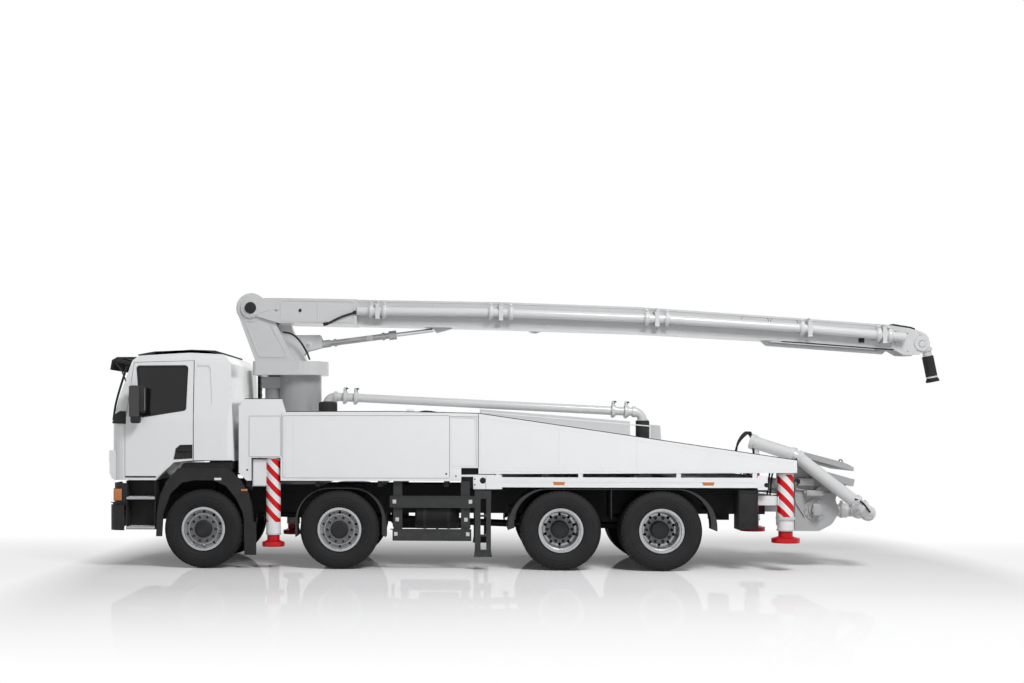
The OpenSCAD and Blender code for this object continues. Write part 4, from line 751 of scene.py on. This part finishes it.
def makeFirstArm(s):
    body, y, root, tip = "first_arm", s["armHalf"], s["rootHalf"], s["tipHalf"]
    trim = Piece("armStiffeners", "boom_white", body)
    # Edge strips along the box, and its upright ribs
    for line, inner in ((s["top"], -0.03), (s["bottom"], 0.03)):
        edge = [(x, level(line, x)) for x in (-2.37, -0.351, 1.616, 3.828, 4.921, 5.06)]
        trim.prism(edge + [(x, z + inner) for x, z in edge[::-1]], y - 0.001, y + 0.006)
    for x in s["ribs"]:
        trim.box((x - 0.012, y - 0.001, level(s["bottom"], x) + 0.04),
                 (x + 0.012, y + 0.005, level(s["top"], x) - 0.04), 0.002, 1)
    trim.mirror().done()
    slots = Piece("armSlots", "guard_grey", body)
    for ends in ((3.02, 3.4), (3.425, 3.8)):
        (xa, za), (xb, zb) = [(x, (level(s["top"], x) + level(s["bottom"], x)) / 2 + 0.06) for x in ends]
        corners = [(xa, za - 0.085), (xa, za + 0.085), (xb, zb + 0.085), (xb, zb - 0.085)]
        slots.band(rounded(corners, 0.04, 6), 0.005, y - 0.001, y + 0.004)
    slots.mirror().done()
    case = Piece("rootCasing", "boom_white", body)
    case.band(rounded([(-3.48, 3.445), (-3.48, 3.76), (-2.41, 3.735), (-2.41, 3.415)], 0.04), 0.02,
              root - 0.0005, root + 0.0065)
    case.box((-2.95, root - 0.0005, 3.44), (-2.93, root + 0.006, 3.745), 0.002, 1)
    # Eye plate that narrows back from the root pin, and a small lug behind it
    case.prism([(-3.99, 3.74), (-3.9, 3.762), (-3.8, 3.745), (-3.645, 3.655), (-3.645, 3.612), (-3.8, 3.545),
                (-3.9, 3.52), (-3.99, 3.545), (-4.025, 3.64)], root - 0.001, root + 0.008)
    case.rod((-3.525, root - 0.001, 3.629), (-3.525, root + 0.022, 3.629), 0.026, bevel=0.004)
    case.mirror().done()
    nose = Piece("armTip", "boom_white", body)
    nose.spin(collar(0.05, 0.105, 0.012, 0.098, 0.018), (s["tip"][0], tip, s["tip"][1]), steps=40)
    for x, z in ((5.14, 3.28), (5.14, 3.1), (5.3, 3.25), (5.3, 3.0), (5.47, 3.23)):
        nose.bolt((x, tip, z), 0.015)
    nose.mirror().done()
    dark = Piece("armFittings", "dark_grey", body)
    dark.spin(collar(0, 0.083, 0.006, 0.07, 0.01), (s["pin"][0], 0.3095, s["pin"][1]))
    dark.bolt((-3.194, root, 3.601), 0.02)
    dark.mirror()
    dark.prism([(5.1, 3.345), (5.1, 3.372), (5.34, 3.33), (5.4, 3.308), (5.4, 3.286), (5.33, 3.308)],
               -tip, tip)
    dark.box((4.635, -0.206, 3.111), (4.71, -0.186, 3.174), 0.005)
    dark.prism([(3.59, 3.1425), (3.828, 3.127), (4.921, 3.036), (5.12, 3.019), (5.12, 3.003), (4.921, 3.02),
                (3.828, 3.111), (3.59, 3.128)], -0.19, -0.12)
    dark.done()
    # Hydraulic lines clipped along the far side, and the hose that crosses the root
    lines = Piece("armLines", "hose_rubber", body)
    for rise in (0.05, 0.08, 0.11):
        path = [(x, level(s["bottom"], x) + rise) for x in (-2.34, -1.2, 0, 1.3, 2.4, 3.5, 4.7)]
        lines.tube([(x, y + 0.017, z) for x, z in path], 0.012, 10, 4)
    lines.tube([(-2.83, -0.3, 3.402), (-2.79, -0.31, 3.412), (-2.602, -0.315, 3.503),
                (-2.408, -0.31, 3.565)], 0.015, 10)
    lines.rod((-2.86, -0.302, 3.396), (-2.79, -0.308, 3.412), 0.024, sides=16, bevel=0.005)
    lines.rod((-2.43, -0.311, 3.56), (-2.395, -0.308, 3.57), 0.026, sides=16, bevel=0.005)
    lines.done()
    clips = Piece("lineClips", "machine_steel", body)
    for x in s["clips"]:
        z = level(s["bottom"], x)
        clips.box((x - 0.015, y, z + 0.035), (x + 0.015, y + 0.033, z + 0.125), 0.004)
    clips.done()
    grip = Piece("pipeClamps", "pipe_paint", body)
    for x in s["collars"]:
        grip.clamp((x, s["pipeY"], level(s["line"], x)), (1, 0, -0.06), s["pipeClamp"], 0.052)
    grip.done()
    saddle = Piece("pipeSaddles", "boom_white", body)
    for x in s["saddles"]:
        z = level(s["line"], x)
        for low in (z + 0.098, z - 0.112):
            saddle.box((x - 0.034, -0.351, low), (x + 0.034, -0.195, low + 0.014), 0.004)
        saddle.box((x - 0.012, -0.3, z + 0.11), (x + 0.012, -0.21, z + 0.155), 0.01, 3)
        for yy in (-0.325, -0.225):
            saddle.rod((x, yy, z - 0.125), (x, yy, z + 0.13), 0.008, sides=8)
    saddle.done()


makeFirstArm(boomSet)

# The far arms' slope, near and far side, half height and the places of their clamps
farSet = dict(slope=math.radians(3.9), mid=0.06, ribs=(0.9, 1.9, 2.9, 3.9, 4.7), pipe=0.0627,
              clamps=(0.55, 2.0, 3.3, 4.75))


def makeFarArms(s, far):
    # Second arm lies forward beside the first, the third lies back beside the second
    for name, start, sign, y0, y1, half in (("second", s["tip"], -1, 0.215, 0.465, 0.13),
                                            ("third", s["knee"], 1, 0.64, 0.82, 0.1)):
        body, second = f"{name}_arm", name == "second"
        way = Vector((sign * math.cos(far["slope"]), -sign * math.sin(far["slope"])))
        up = Vector((-way.y, way.x)) * sign
        low, high = far["mid"] - half, far["mid"] + half
        def at(along, rise): return tuple(Vector(start) + way * along + up * rise)
        trim = Piece(f"{name}Stiffeners", "boom_white", body)
        for y, out in ((y0, -1), (y1, 1)):
            for rise in (high - 0.022, low + 0.022):
                trim.prism([at(0.3, rise - 0.012), at(0.3, rise + 0.012), at(5.0, rise + 0.004),
                            at(5.0, rise - 0.016)], y - 0.001 * out, y + 0.006 * out)
            for along in far["ribs"]:
                trim.prism([at(along, low + 0.03), at(along, high - 0.03), at(along + 0.02, high - 0.03),
                            at(along + 0.02, low + 0.03)], y - 0.001 * out, y + 0.005 * out)
        trim.done()
        lines = Piece(f"{name}Lines", "hose_rubber", body)
        for rise in (-0.005, 0.025):
            path = [at(along, rise) for along in (0.35, 1.6, 3.2, 4.85)]
            lines.tube([(x, y1 + 0.016, z) for x, z in path], 0.011, 10, 3)
        lines.done()
        grip = Piece(f"{name}Clamps", "pipe_paint", body)
        for along in far["clamps"]:
            x, z = at(along, 0.075 if second else 0.0)
            if not second:
                z = 3.5025 - (x - 0.3862) * 0.0662
            grip.clamp((x, y1 + 0.072, z), (way.x, 0, way.y), far["pipe"], 0.06)
        grip.done()
    pins = Piece("kneePin", "machine_steel", "second_arm")
    for y in (0.84, 0.465):
        pins.spin(collar(0, 0.052, 0.008, 0.044, 0.014), (s["knee"][0], y, s["knee"][1]), steps=32)
    pins.done()
    hose = Piece("endHoseBands", "boom_white", "third_arm")
    top, end = Vector(s["hoseTop"]), Vector(s["hoseEnd"])
    way = (end - top).normalized()
    hose.spin(ringed(0.0705, 0.082, -0.012, 0.012), top + way * 0.31, way, 40)
    hose.done()


makeFarArms(boomSet, farSet)


def makeTurret(s):
    trim = Piece("turretTrim", "boom_white", "slewing_turret")
    trim.band(rounded([(-3.8, 2.93), (-4.05, 3.57), (-3.7, 3.57), (-3.36, 2.93)], 0.05), 0.018,
              0.2495, 0.2565)
    trim.spin(collar(0.062, 0.2, 0.006, 0.19, 0.008), (s["pin"][0], 0.25, s["pin"][1]))
    trim.spin(collar(0.026, 0.06, 0.01, 0.052, 0.014), (s["foot"][0], 0.082, s["foot"][1]), steps=32)
    trim.mirror().done()
    hoses = Piece("turretHoses", "hose_rubber", "slewing_turret")
    hoses.tube([(-3.446, -0.262, 3.293), (-3.319, -0.255, 3.266), (-3.204, -0.235, 3.165),
                (-3.109, -0.215, 3.007), (-3.067, -0.2, 2.9)], 0.014, 10)
    hoses.done()
    column = Piece("columnTrim", "boom_white")
    column.spin(ringed(0.305, 0.33, -0.03, 0.02), (-3.223, 0, 2.13), (0, 0, 1), 72)
    column.done()
    motor = Piece("slewMotor", "dark_grey")
    motor.spin([(0, 0), (0.075, 0), (0.085, 0.01), (0.085, 0.1), (0.06, 0.12), (0, 0.12)],
               (-3.608, 0, 2.655), (0, 0, 1), 32)
    motor.done()
    barrel = Piece("barrelTrim", "cylinder_paint", "cylinder")
    foot, eye = [Vector((x, 0, z)) for x, z in (s["foot"], s["eye"])]
    way = (eye - foot).normalized()
    for far in (0.4, 1.1):
        barrel.spin(ringed(0.042, 0.056, -0.02, 0.02), foot + way * far, way, 32)
    beside = Vector((0, -0.06, 0))
    barrel.rod(foot + way * 0.3 + beside, foot + way * 1.2 + beside, 0.011, sides=10)
    middle = foot + way * 0.9
    barrel.box(middle + Vector((-0.05, -0.085, -0.035)), middle + Vector((0.05, -0.04, 0.035)), 0.006)
    barrel.done()


makeTurret(boomSet)
print("boom done")

# Body: edge strips, latches, deck pipe, hopper and outrigger details
bodySet = dict(side=1.25, deckPipe=((-2.862, 2.384), (1.7, 2.148)), deckY=0.2, deckTilt=-0.0517,
               wedge=((-0.665, 2.115), (3.55, 1.489)), tank=(0.8, 0.675))


def makePanels(s):
    y = s["side"]
    edge = Piece("panelEdges", "dark_grey")
    for a, b in (s["wedge"], ((-3.28, 2.14), (-1.814, 2.142)), ((-1.814, 2.142), (-0.665, 2.115)),
                 ((-3.843, 2.316), (-3.335, 2.316))):
        edge.prism([a, b, (b[0], b[1] + 0.009), (a[0], a[1] + 0.009)], y - 0.042, y + 0.002)
    edge.box((-0.669, y - 0.008, 1.385), (-0.662, y + 0.001, 2.112))
    edge.box((-3.338, y - 0.008, 1.52), (-3.333, y + 0.001, 2.12))
    edge.mirror().done()
    # Folded borders and pressed ribs of the rear field and the wedge
    skin = Piece("panelFolds", "panel_white")
    skin.band(rounded([(-0.64, 1.335), (-0.64, 2.075), (3.5, 1.465), (3.5, 1.352)], 0.012, 3), 0.016,
              y - 0.001, y + 0.003)
    skin.band(rounded([(-1.03, 1.41), (-1.03, 2.07), (-0.7, 2.06), (-0.7, 1.41)], 0.03), 0.01,
              y - 0.016, y - 0.008)
    for x in (0.42, 1.45, 2.42):
        skin.box((x - 0.006, y - 0.001, 1.345), (x + 0.006, y + 0.003, level(s["wedge"], x) - 0.05), 0.001, 1)
    skin.mirror().done()
    # Seams round the two side doors of the front field, with their locks
    seam = Piece("panelSeams", "guard_grey")
    for x0, x1, z0, z1 in ((-3.787, -3.352, 1.53, 2.085), (-3.322, -1.053, 1.24, 2.09)):
        seam.band(rounded([(x0, z0), (x0, z1), (x1, z1), (x1, z0)], 0.02, 4), 0.0035, y - 0.003, y + 0.0008)
    for x, z in ((-3.81, 1.349), (-1.1, 1.3)):
        seam.rod((x, y - 0.003, z), (x, y + 0.004, z), 0.014, 0.012, 20)
    seam.mirror().done()
    # Sill between the two fields: corner plate, strip, and the brackets that hold the side rail
    sill = Piece("sillPlates", "panel_white")
    sill.box((-1.045, 1.238, 1.207), (-0.897, 1.246, 1.392), 0.002)
    sill.box((-0.9, 1.225, 1.262), (-0.46, 1.24, 1.29), 0.002)
    sill.box((-0.737, 1.2, 1.094), (-0.568, 1.244, 1.262), 0.006)
    sill.mirror().done()
    back = Piece("sillBack", "chassis_black")
    back.box((-0.9, 1.16, 1.11), (-0.48, 1.175, 1.41), 0.002)
    back.spin(ringed(0, 0.042, 0, 0.004), (-0.606, 1.2435, 1.212), (0, 1, 0), 32)
    back.spin(ringed(0, 0.03, 0, 0.004), (3.15, 1.2465, 1.16), (0, 1, 0), 32)
    for x, yy, z in ((-0.969, 1.246, 1.272), (-0.715, 1.244, 1.155), (-0.715, 1.244, 1.23)):
        back.bolt((x, yy, z), 0.009)
    back.mirror().done()


makePanels(bodySet)


def makeDeck(s):
    y, pipe = s["deckY"], s["deckPipe"]
    grip = Piece("deckClamps", "pipe_paint")
    tee = Piece("deckHandles", "dark_grey")
    for x in (-2.596, -2.439, 1.278, 1.461):
        grip.clamp((x, y, level(pipe, x)), (1, 0, s["deckTilt"]), 0.083, 0.045)
        x += 0.02
        z = level(pipe, x) + 0.08
        tee.rod((x, y, z), (x, y, z + 0.045), 0.011, sides=12)
        tee.rod((x - 0.032, y, z + 0.05), (x + 0.032, y, z + 0.05), 0.012, sides=12, bevel=0.004)
    grip.done()
    # Cap of the water tank, and the sleeve where the pipe leaves the deck
    tee.spin([(0, 0), (0.05, 0), (0.12, -0.012), (0.133, -0.03), (0.133, -0.2), (0, -0.2)],
             (-2.78, -0.45, 2.3), (0, 0, 1), 40)
    foot = level(s["wedge"], 1.7) - 0.06
    tee.spin([(0.0805, foot), (0.097, foot), (0.097, 2.02), (0.09, 2.028), (0.0805, 2.028)],
             (1.7, y, 0), (0, 0, 1), 40)
    tee.done()
    # Hoses of the oil cooler on the front deck and round the foot of the hopper's pipe
    line = Piece("deckLines", "hose_rubber")
    base = level(s["wedge"], 3.0) - 0.07
    for k in range(3):
        near = -0.56 - k * 0.045
        line.tube([(-1.56, near, 2.09), (-1.52, near, 2.13), (-1.4, near, 2.155 - k * 0.01),
                   (-1.24, near, 2.135), (-1.18, near, 2.09)], 0.011, 10)
        near = -0.43 - k * 0.03
        line.tube([(2.9 - k * 0.02, near, base), (2.93, near - 0.01, 1.72),
                   (3.03 + k * 0.02, near - 0.02, 1.86), (3.1, near - 0.05, 1.79), (3.13, near - 0.06, 1.62),
                   (3.13, near - 0.05, base - 0.02)], 0.014, 10)
    line.done()
    cover = Piece("housingTrim", "panel_white")
    cover.box((-1.66, -0.7, 2.085), (-1.56, -0.54, 2.185), 0.012, 3)
    cover.box((-1.2, -0.68, 2.085), (-1.1, -0.56, 2.15), 0.012, 3)
    for y in (-0.001, 0.561):
        cover.band([(-0.6, 2.075), (-0.6, 2.155), (1.79, 1.955), (1.79, 1.72)], 0.014, y - 0.003, y + 0.003)
    for x in (0, 0.6, 1.2):
        top = 2.182 - 0.204 * (x + 0.629) / 2.448
        cover.box((x - 0.012, 0.01, top - 0.004), (x + 0.012, 0.55, top + 0.006), 0.002)
    cover.done()
    # Chequer strips that one walks on
    walk = Piece("deckTread", "machine_steel")
    for k in range(26):
        x = -3.2 + k * 0.094
        walk.box((x - 0.006, -0.95, 2.0995), (x + 0.006, -0.55, 2.104), 0.0015, 1)
    walk.done()


makeDeck(bodySet)

# Mudguard lips: centre, radius, first and last turn in degrees, widest part, outer face, foot
lipSet = ((0.251, 0.584, 0.52, 180, 96, 0.085, 1.235, 0.545),
          (1.992, 0.584, 0.52, 0, 84, 0.085, 1.235, 0.545),
          (-2.682, 0.638, 0.47, 180, 120, 0.03, 1.245, 0.442),
          (-2.389, 0.638, 0.47, 0, 60, 0.05, 1.245, 0.442))


def makeChassis(s):
    tread = Piece("stepTreads", "machine_steel")
    for z in (0.562, 0.968):
        tread.box((-5.48, 1.01, z - 0.001), (-5.09, 1.236, z + 0.007), 0.002)
        for k in range(9):
            for j in range(4):
                x, y = -5.455 + k * 0.042, 1.035 + j * 0.055
                tread.rod((x, y, z + 0.006), (x, y, z + 0.013), 0.01, 0.007, 10)
        tread.box((-5.482, 1.236, z - 0.026), (-5.088, 1.243, z + 0.002), 0.002)
    for k in range(1, 4):
        for j in range(3):
            x, z = -0.625 + j * 0.027, 0.215 + k * 0.265
            tread.rod((x, 1.2, z), (x, 1.2, z + 0.005), 0.009, 0.007, 8)
    tread.mirror().done()
    guard = Piece("guardTrim", "guard_grey")
    for z in (0.398, 0.845):
        guard.box((-1.86, 1.219, z + 0.144), (-0.765, 1.226, z + 0.157), 0.002)
        guard.box((-1.825, 1.219, z - 0.006), (-0.765, 1.226, z + 0.007), 0.002)
    for z in (0.225, 1.01):
        guard.bolt((-0.6, 1.228, z), 0.009)
    guard.mirror().done()
    lip = Piece("guardLips", "guard_grey")
    for cx, cz, r, first, last, wide, y, foot in lipSet:
        outer, inner = [], []
        for k in range(13):
            turn = math.radians(first + (last - first) * k / 12)
            thin = r - wide + (wide - 0.012) * k / 12
            outer.append((cx + r * math.cos(turn), cz + r * math.sin(turn)))
            inner.append((cx + thin * math.cos(turn), cz + thin * math.sin(turn)))
        lip.prism([(outer[0][0], foot)] + outer + inner[::-1] + [(inner[0][0], foot + 0.03)],
                  y - 0.009, y + 0.001)
    lip.mirror().done()
    plate = Piece("guardPlates", "boom_white")
    for x, z, y in ((-1.802, 0.923, 1.22), (-0.774, 0.923, 1.22), (-1.765, 0.679, 1.19),
                    (-0.835, 0.679, 1.19), (-1.783, 0.484, 1.22), (-0.81, 0.484, 1.22)):
        plate.box((x - 0.024, y - 0.002, z - 0.026), (x + 0.024, y + 0.005, z + 0.026), 0.003)
    plate.mirror().done()
    strap = Piece("tankStraps", "guard_grey")
    y, z = s["tank"]
    for x in (-1.4, -1.07):
        strap.spin(ringed(0.1425, 0.148, -0.022, 0.022), (x, y, z), (1, 0, 0))
    for x, way in ((-1.512, -1), (-0.952, 1)):
        strap.spin([(0, 0.026), (0.06, 0.024), (0.11, 0.014), (0.138, 0), (0.138, -0.004), (0, -0.004)],
                   (x, y, z), (way, 0, 0), 40)
    strap.rod((-1.23, y, 0.535), (-1.23, y, 0.515), 0.016, sides=12)
    strap.mirror().done()
    gear = Piece("springGear", "chassis_black")
    for x in axleX[:2]:  # spring bolts and dampers in front, air bags behind
        for bolt in (x - 0.07, x + 0.07):
            gear.tube([(bolt, 0.335, 0.4), (bolt, 0.335, 0.6), (bolt, 0.39, 0.625), (bolt, 0.445, 0.6),
                       (bolt, 0.445, 0.4)], 0.011, 8, 4)
        gear.tube([(x + 0.22, 0.5, 0.46), (x + 0.28, 0.5, 0.8)], 0.032, 16, 1)
        gear.tube([(x + 0.24, 0.5, 0.57), (x + 0.29, 0.5, 0.86)], 0.042, 16, 1)
        gear.rod((x + 0.285, 0.36, 0.85), (x + 0.285, 0.53, 0.85), 0.016, sides=12)
    for x in axleX[2:]:
        gear.spin([(0, -0.08), (0.075, -0.08), (0.09, -0.06), (0.09, -0.008), (0.098, 0), (0.09, 0.008),
                   (0.09, 0.06), (0.075, 0.08), (0, 0.08)], (x + 0.2, 0.52, 0.7), (0.3, 0, 1), 28)
        gear.rod((x + 0.18, 0.52, 0.62), (x + 0.04, 0.53, 0.56), 0.02, sides=10)
    gear.mirror().done()
    flap = Piece("mudFlaps", "hose_rubber")
    flap.box((2.8, 1.2105, 0.575), (3.045, 1.2155, 1.075), 0.002)
    flap.band([(2.8, 0.575), (3.045, 0.575), (3.045, 1.075), (2.8, 1.075)], 0.022, 1.2145, 1.222)
    for k in range(5):
        flap.bolt((2.82 + k * 0.05, 1.222, 1.063), 0.007, washer=False)
    flap.mirror().done()
    front = Piece("bumperTrim", "dark_grey")
    front.tube([(-5.7, 1.232, 0.9), (-5.62, 1.238, 0.9), (-5.5, 1.238, 0.9)], 0.007, 8, 1)
    front.rod((-5.738, 0.42, 0.7), (-5.755, 0.42, 0.7), 0.034, 0.03, 24)
    front.mirror()
    front.box((-5.745, -0.6, 0.585), (-5.737, 0.6, 0.79), 0.003)
    for k in range(6):
        front.box((-5.748, -0.57, 0.605 + k * 0.031), (-5.742, 0.57, 0.617 + k * 0.031), 0.002, 1)
    front.done()


makeChassis(bodySet)


def makeOutriggers():
    x, y = rearLeg
    trim = Piece("rearLegTrim", "boom_white")
    trim.spin(ringed(0.1085, 0.128, 0, 0.03), (x, y, 0.7), (0, 0, 1))
    trim.spin(collar(0, 0.115, 0.012, 0.095, 0.02), (x, y, 1.3), (0, 0, 1))
    trim.spin(ringed(0.1085, 0.1165, 0, 0.02), (x, y, 0.546), (0, 0, 1))
    trim.mirror().done()
    dark = Piece("legLines", "hose_rubber")
    for path in (((3.36, 1.02, 1.31), (3.33, 1.0, 1.39), (3.26, 0.98, 1.36), (3.22, 0.96, 1.02)),
                 ((3.39, 1.0, 1.31), (3.35, 0.98, 1.36), (3.29, 0.96, 1.3), (3.26, 0.94, 1.01))):
        for side, out in bothSides:
            dark.tube([(px, py * out, pz) for px, py, pz in path], 0.012, 8)
    dark.done()
    for side, out in bothSides:
        leg = Piece(f"frontLegTrim_{side}", "boom_white", f"{side}_beam")
        leg.spin(ringed(0.1, 0.103, 0, 0.02), (*frontLeg, 0.463), (0, 0, 1))
        leg.spin(collar(0, 0.103, 0.008, 0.09, 0.012), (*frontLeg, 1.5), (0, 0, 1))
        leg.done(out)
    for side, out in bothSides:
        for end, (x, y), z, r in (("front", frontLeg, 0.303, 0.1515), ("rear", rearLeg, 0.386, 0.183)):
            rim = Piece(f"footRim_{end}_{side}", "foot_red", f"{end}_{side}_leg")
            rim.spin([(r - 0.03, 0.06), (r - 0.002, 0.06), (r + 0.002, 0.052), (r + 0.002, 0.008),
                      (r - 0.004, 0.001), (r - 0.03, 0.001)], (x, y, z), (0, 0, 1))
            for px, py in around(x, y, r - 0.045, 6):
                rim.bolt((px, py, z + 0.062), 0.011, (0, 0, 1))
            rim.done(out)


makeOutriggers()

hopperSet = dict(wall=0.59, shaft=(3.945, 0.8), pipe=((4.64, -0.77, 0.755), (3.64, -0.765, 1.545)),
                 lamp=(3.63, 0.9, 1.46), lid=((3.728, 1.592), (4.334, 1.428), (4.452, 1.384)))


def makeHopper(s):
    y, (x, z) = s["wall"], s["shaft"]
    ribs = Piece("hopperRibs", "hopper_grey")
    for outline, out in (([(3.675, 1.08), (4.24, 1.0), (4.24, 1.012), (3.675, 1.095)], 0.625),
                         ([(3.8, 1.4), (3.812, 1.4), (3.9, 1.05), (3.888, 1.05)], 0.62),
                         ([(4.16, 1.3), (4.172, 1.3), (4.14, 1.02), (4.128, 1.02)], 0.62),
                         ([(3.675, 0.9), (3.8, 0.7), (3.8, 0.72), (3.675, 0.93)], 0.615)):
        ribs.prism(outline, y - 0.001, out)
    ribs.spin(ringed(0.095, 0.15, 0, 0.014), (x, y, z))
    ribs.mirror().done()
    nuts = Piece("hopperBolts", "machine_steel")
    for px, pz in around(x, z, 0.125, 10):
        nuts.bolt((px, y + 0.014, pz), 0.011)
    for px, pz in ((3.7, 1.33), (3.7, 1.2), (3.7, 1.0), (4.22, 1.16)):
        nuts.bolt((px, y, pz), 0.012)
    nuts.mirror().done()
    motor = Piece("hopperMotor", "hopper_grey")
    motor.rod((x, 0.631, z), (x, 0.69, z), 0.07, 0.066, 28, 0.008)
    motor.mirror()
    motor.box((3.7, -0.66, 1.13), (3.92, -0.592, 1.235), 0.012, 3)
    motor.box((3.8, -0.7, 0.99), (4.03, -0.592, 1.07), 0.014, 3)
    motor.rod((3.78, -0.64, 1.03), (4.05, -0.64, 1.03), 0.03, sides=20, bevel=0.004)
    motor.rod((3.99, -0.592, 1.06), (3.99, -0.668, 1.06), 0.055, sides=28, bevel=0.006)
    motor.box((3.89, -0.7, 0.72), (4.00, -0.63, 0.88), 0.015, 3)
    motor.rod((3.8, 0.592, 1.16), (3.8, 0.66, 1.16), 0.05, bevel=0.006)
    motor.done()
    lines = Piece("hopperLines", "hose_rubber")
    for k in range(3):
        lines.tube([(3.72, -0.665, 1.17 + k * 0.02), (3.62, -0.68, 1.2), (3.55, -0.62, 1.1 + k * 0.03),
                    (3.52, -0.55, 1.02)], 0.011, 8)
    lines.done()
    grips = Piece("hopperClamps", "pipe_paint")
    start, end = [Vector(p) for p in s["pipe"]]
    way = (end - start).normalized()
    grips.clamp(start + way * 0.26, way, 0.0885, 0.06, (0, -1, 0))
    grips.clamp((4.45, 0, 0.76), (1, 0, 0), 0.0885, 0.06)
    grips.done()
    lever = Piece("pipeLever", "dark_grey")
    turns = ((0, -0.09, 0.02), (0.1, -0.1, -0.03), (0.2, -0.1, -0.16))
    lever.tube([start + way * 0.3 + Vector(p) for p in turns], 0.013, 10)
    lever.box((4.2, -0.61, 1.04), (4.24, -0.585, 1.1), 0.006)
    lever.done()
    work = Piece("workLamp", "clear")
    work.spin([(0, 0.012), (0.03, 0.01), (0.045, 0), (0, 0)], s["lamp"], (1, 0, 0.1), 24)
    work.mirror().done()
    seat = Piece("workLampSeat", "dark_grey")
    seat.spin([(0, -0.05), (0.03, -0.045), (0.05, -0.01), (0.052, 0), (0, 0)], s["lamp"], (1, 0, 0.1), 24)
    seat.box((3.545, 0.88, 1.4), (3.6, 0.92, 1.46), 0.006)
    seat.mirror().done()
    lid = Piece("lidTrim", "hopper_grey", "lid")
    x0, x1, x2 = 3.76, 4.334, 4.43
    z0, z1, z2 = [level(s["lid"], x) for x in (x0, x1, x2)]
    for y in (-0.55, -0.2, 0.2, 0.55):
        lid.prism([(x0, z0 - 0.001), (x0, z0 + 0.02), (x1, z1 + 0.02), (x2, z2 + 0.012), (x2, z2 - 0.001)],
                  y - 0.02, y + 0.02)
    lid.done()
    pull = Piece("lidHandle", "dark_grey", "lid")
    x, z = 4.34, level(s["lid"], 4.34)
    pull.tube([(x, 0.31, z), (x, 0.31, z + 0.05), (x, 0.45, z + 0.05), (x, 0.45, z)], 0.008, 8, 3)
    pull.mirror().done()


makeHopper(hopperSet)
print("body done")
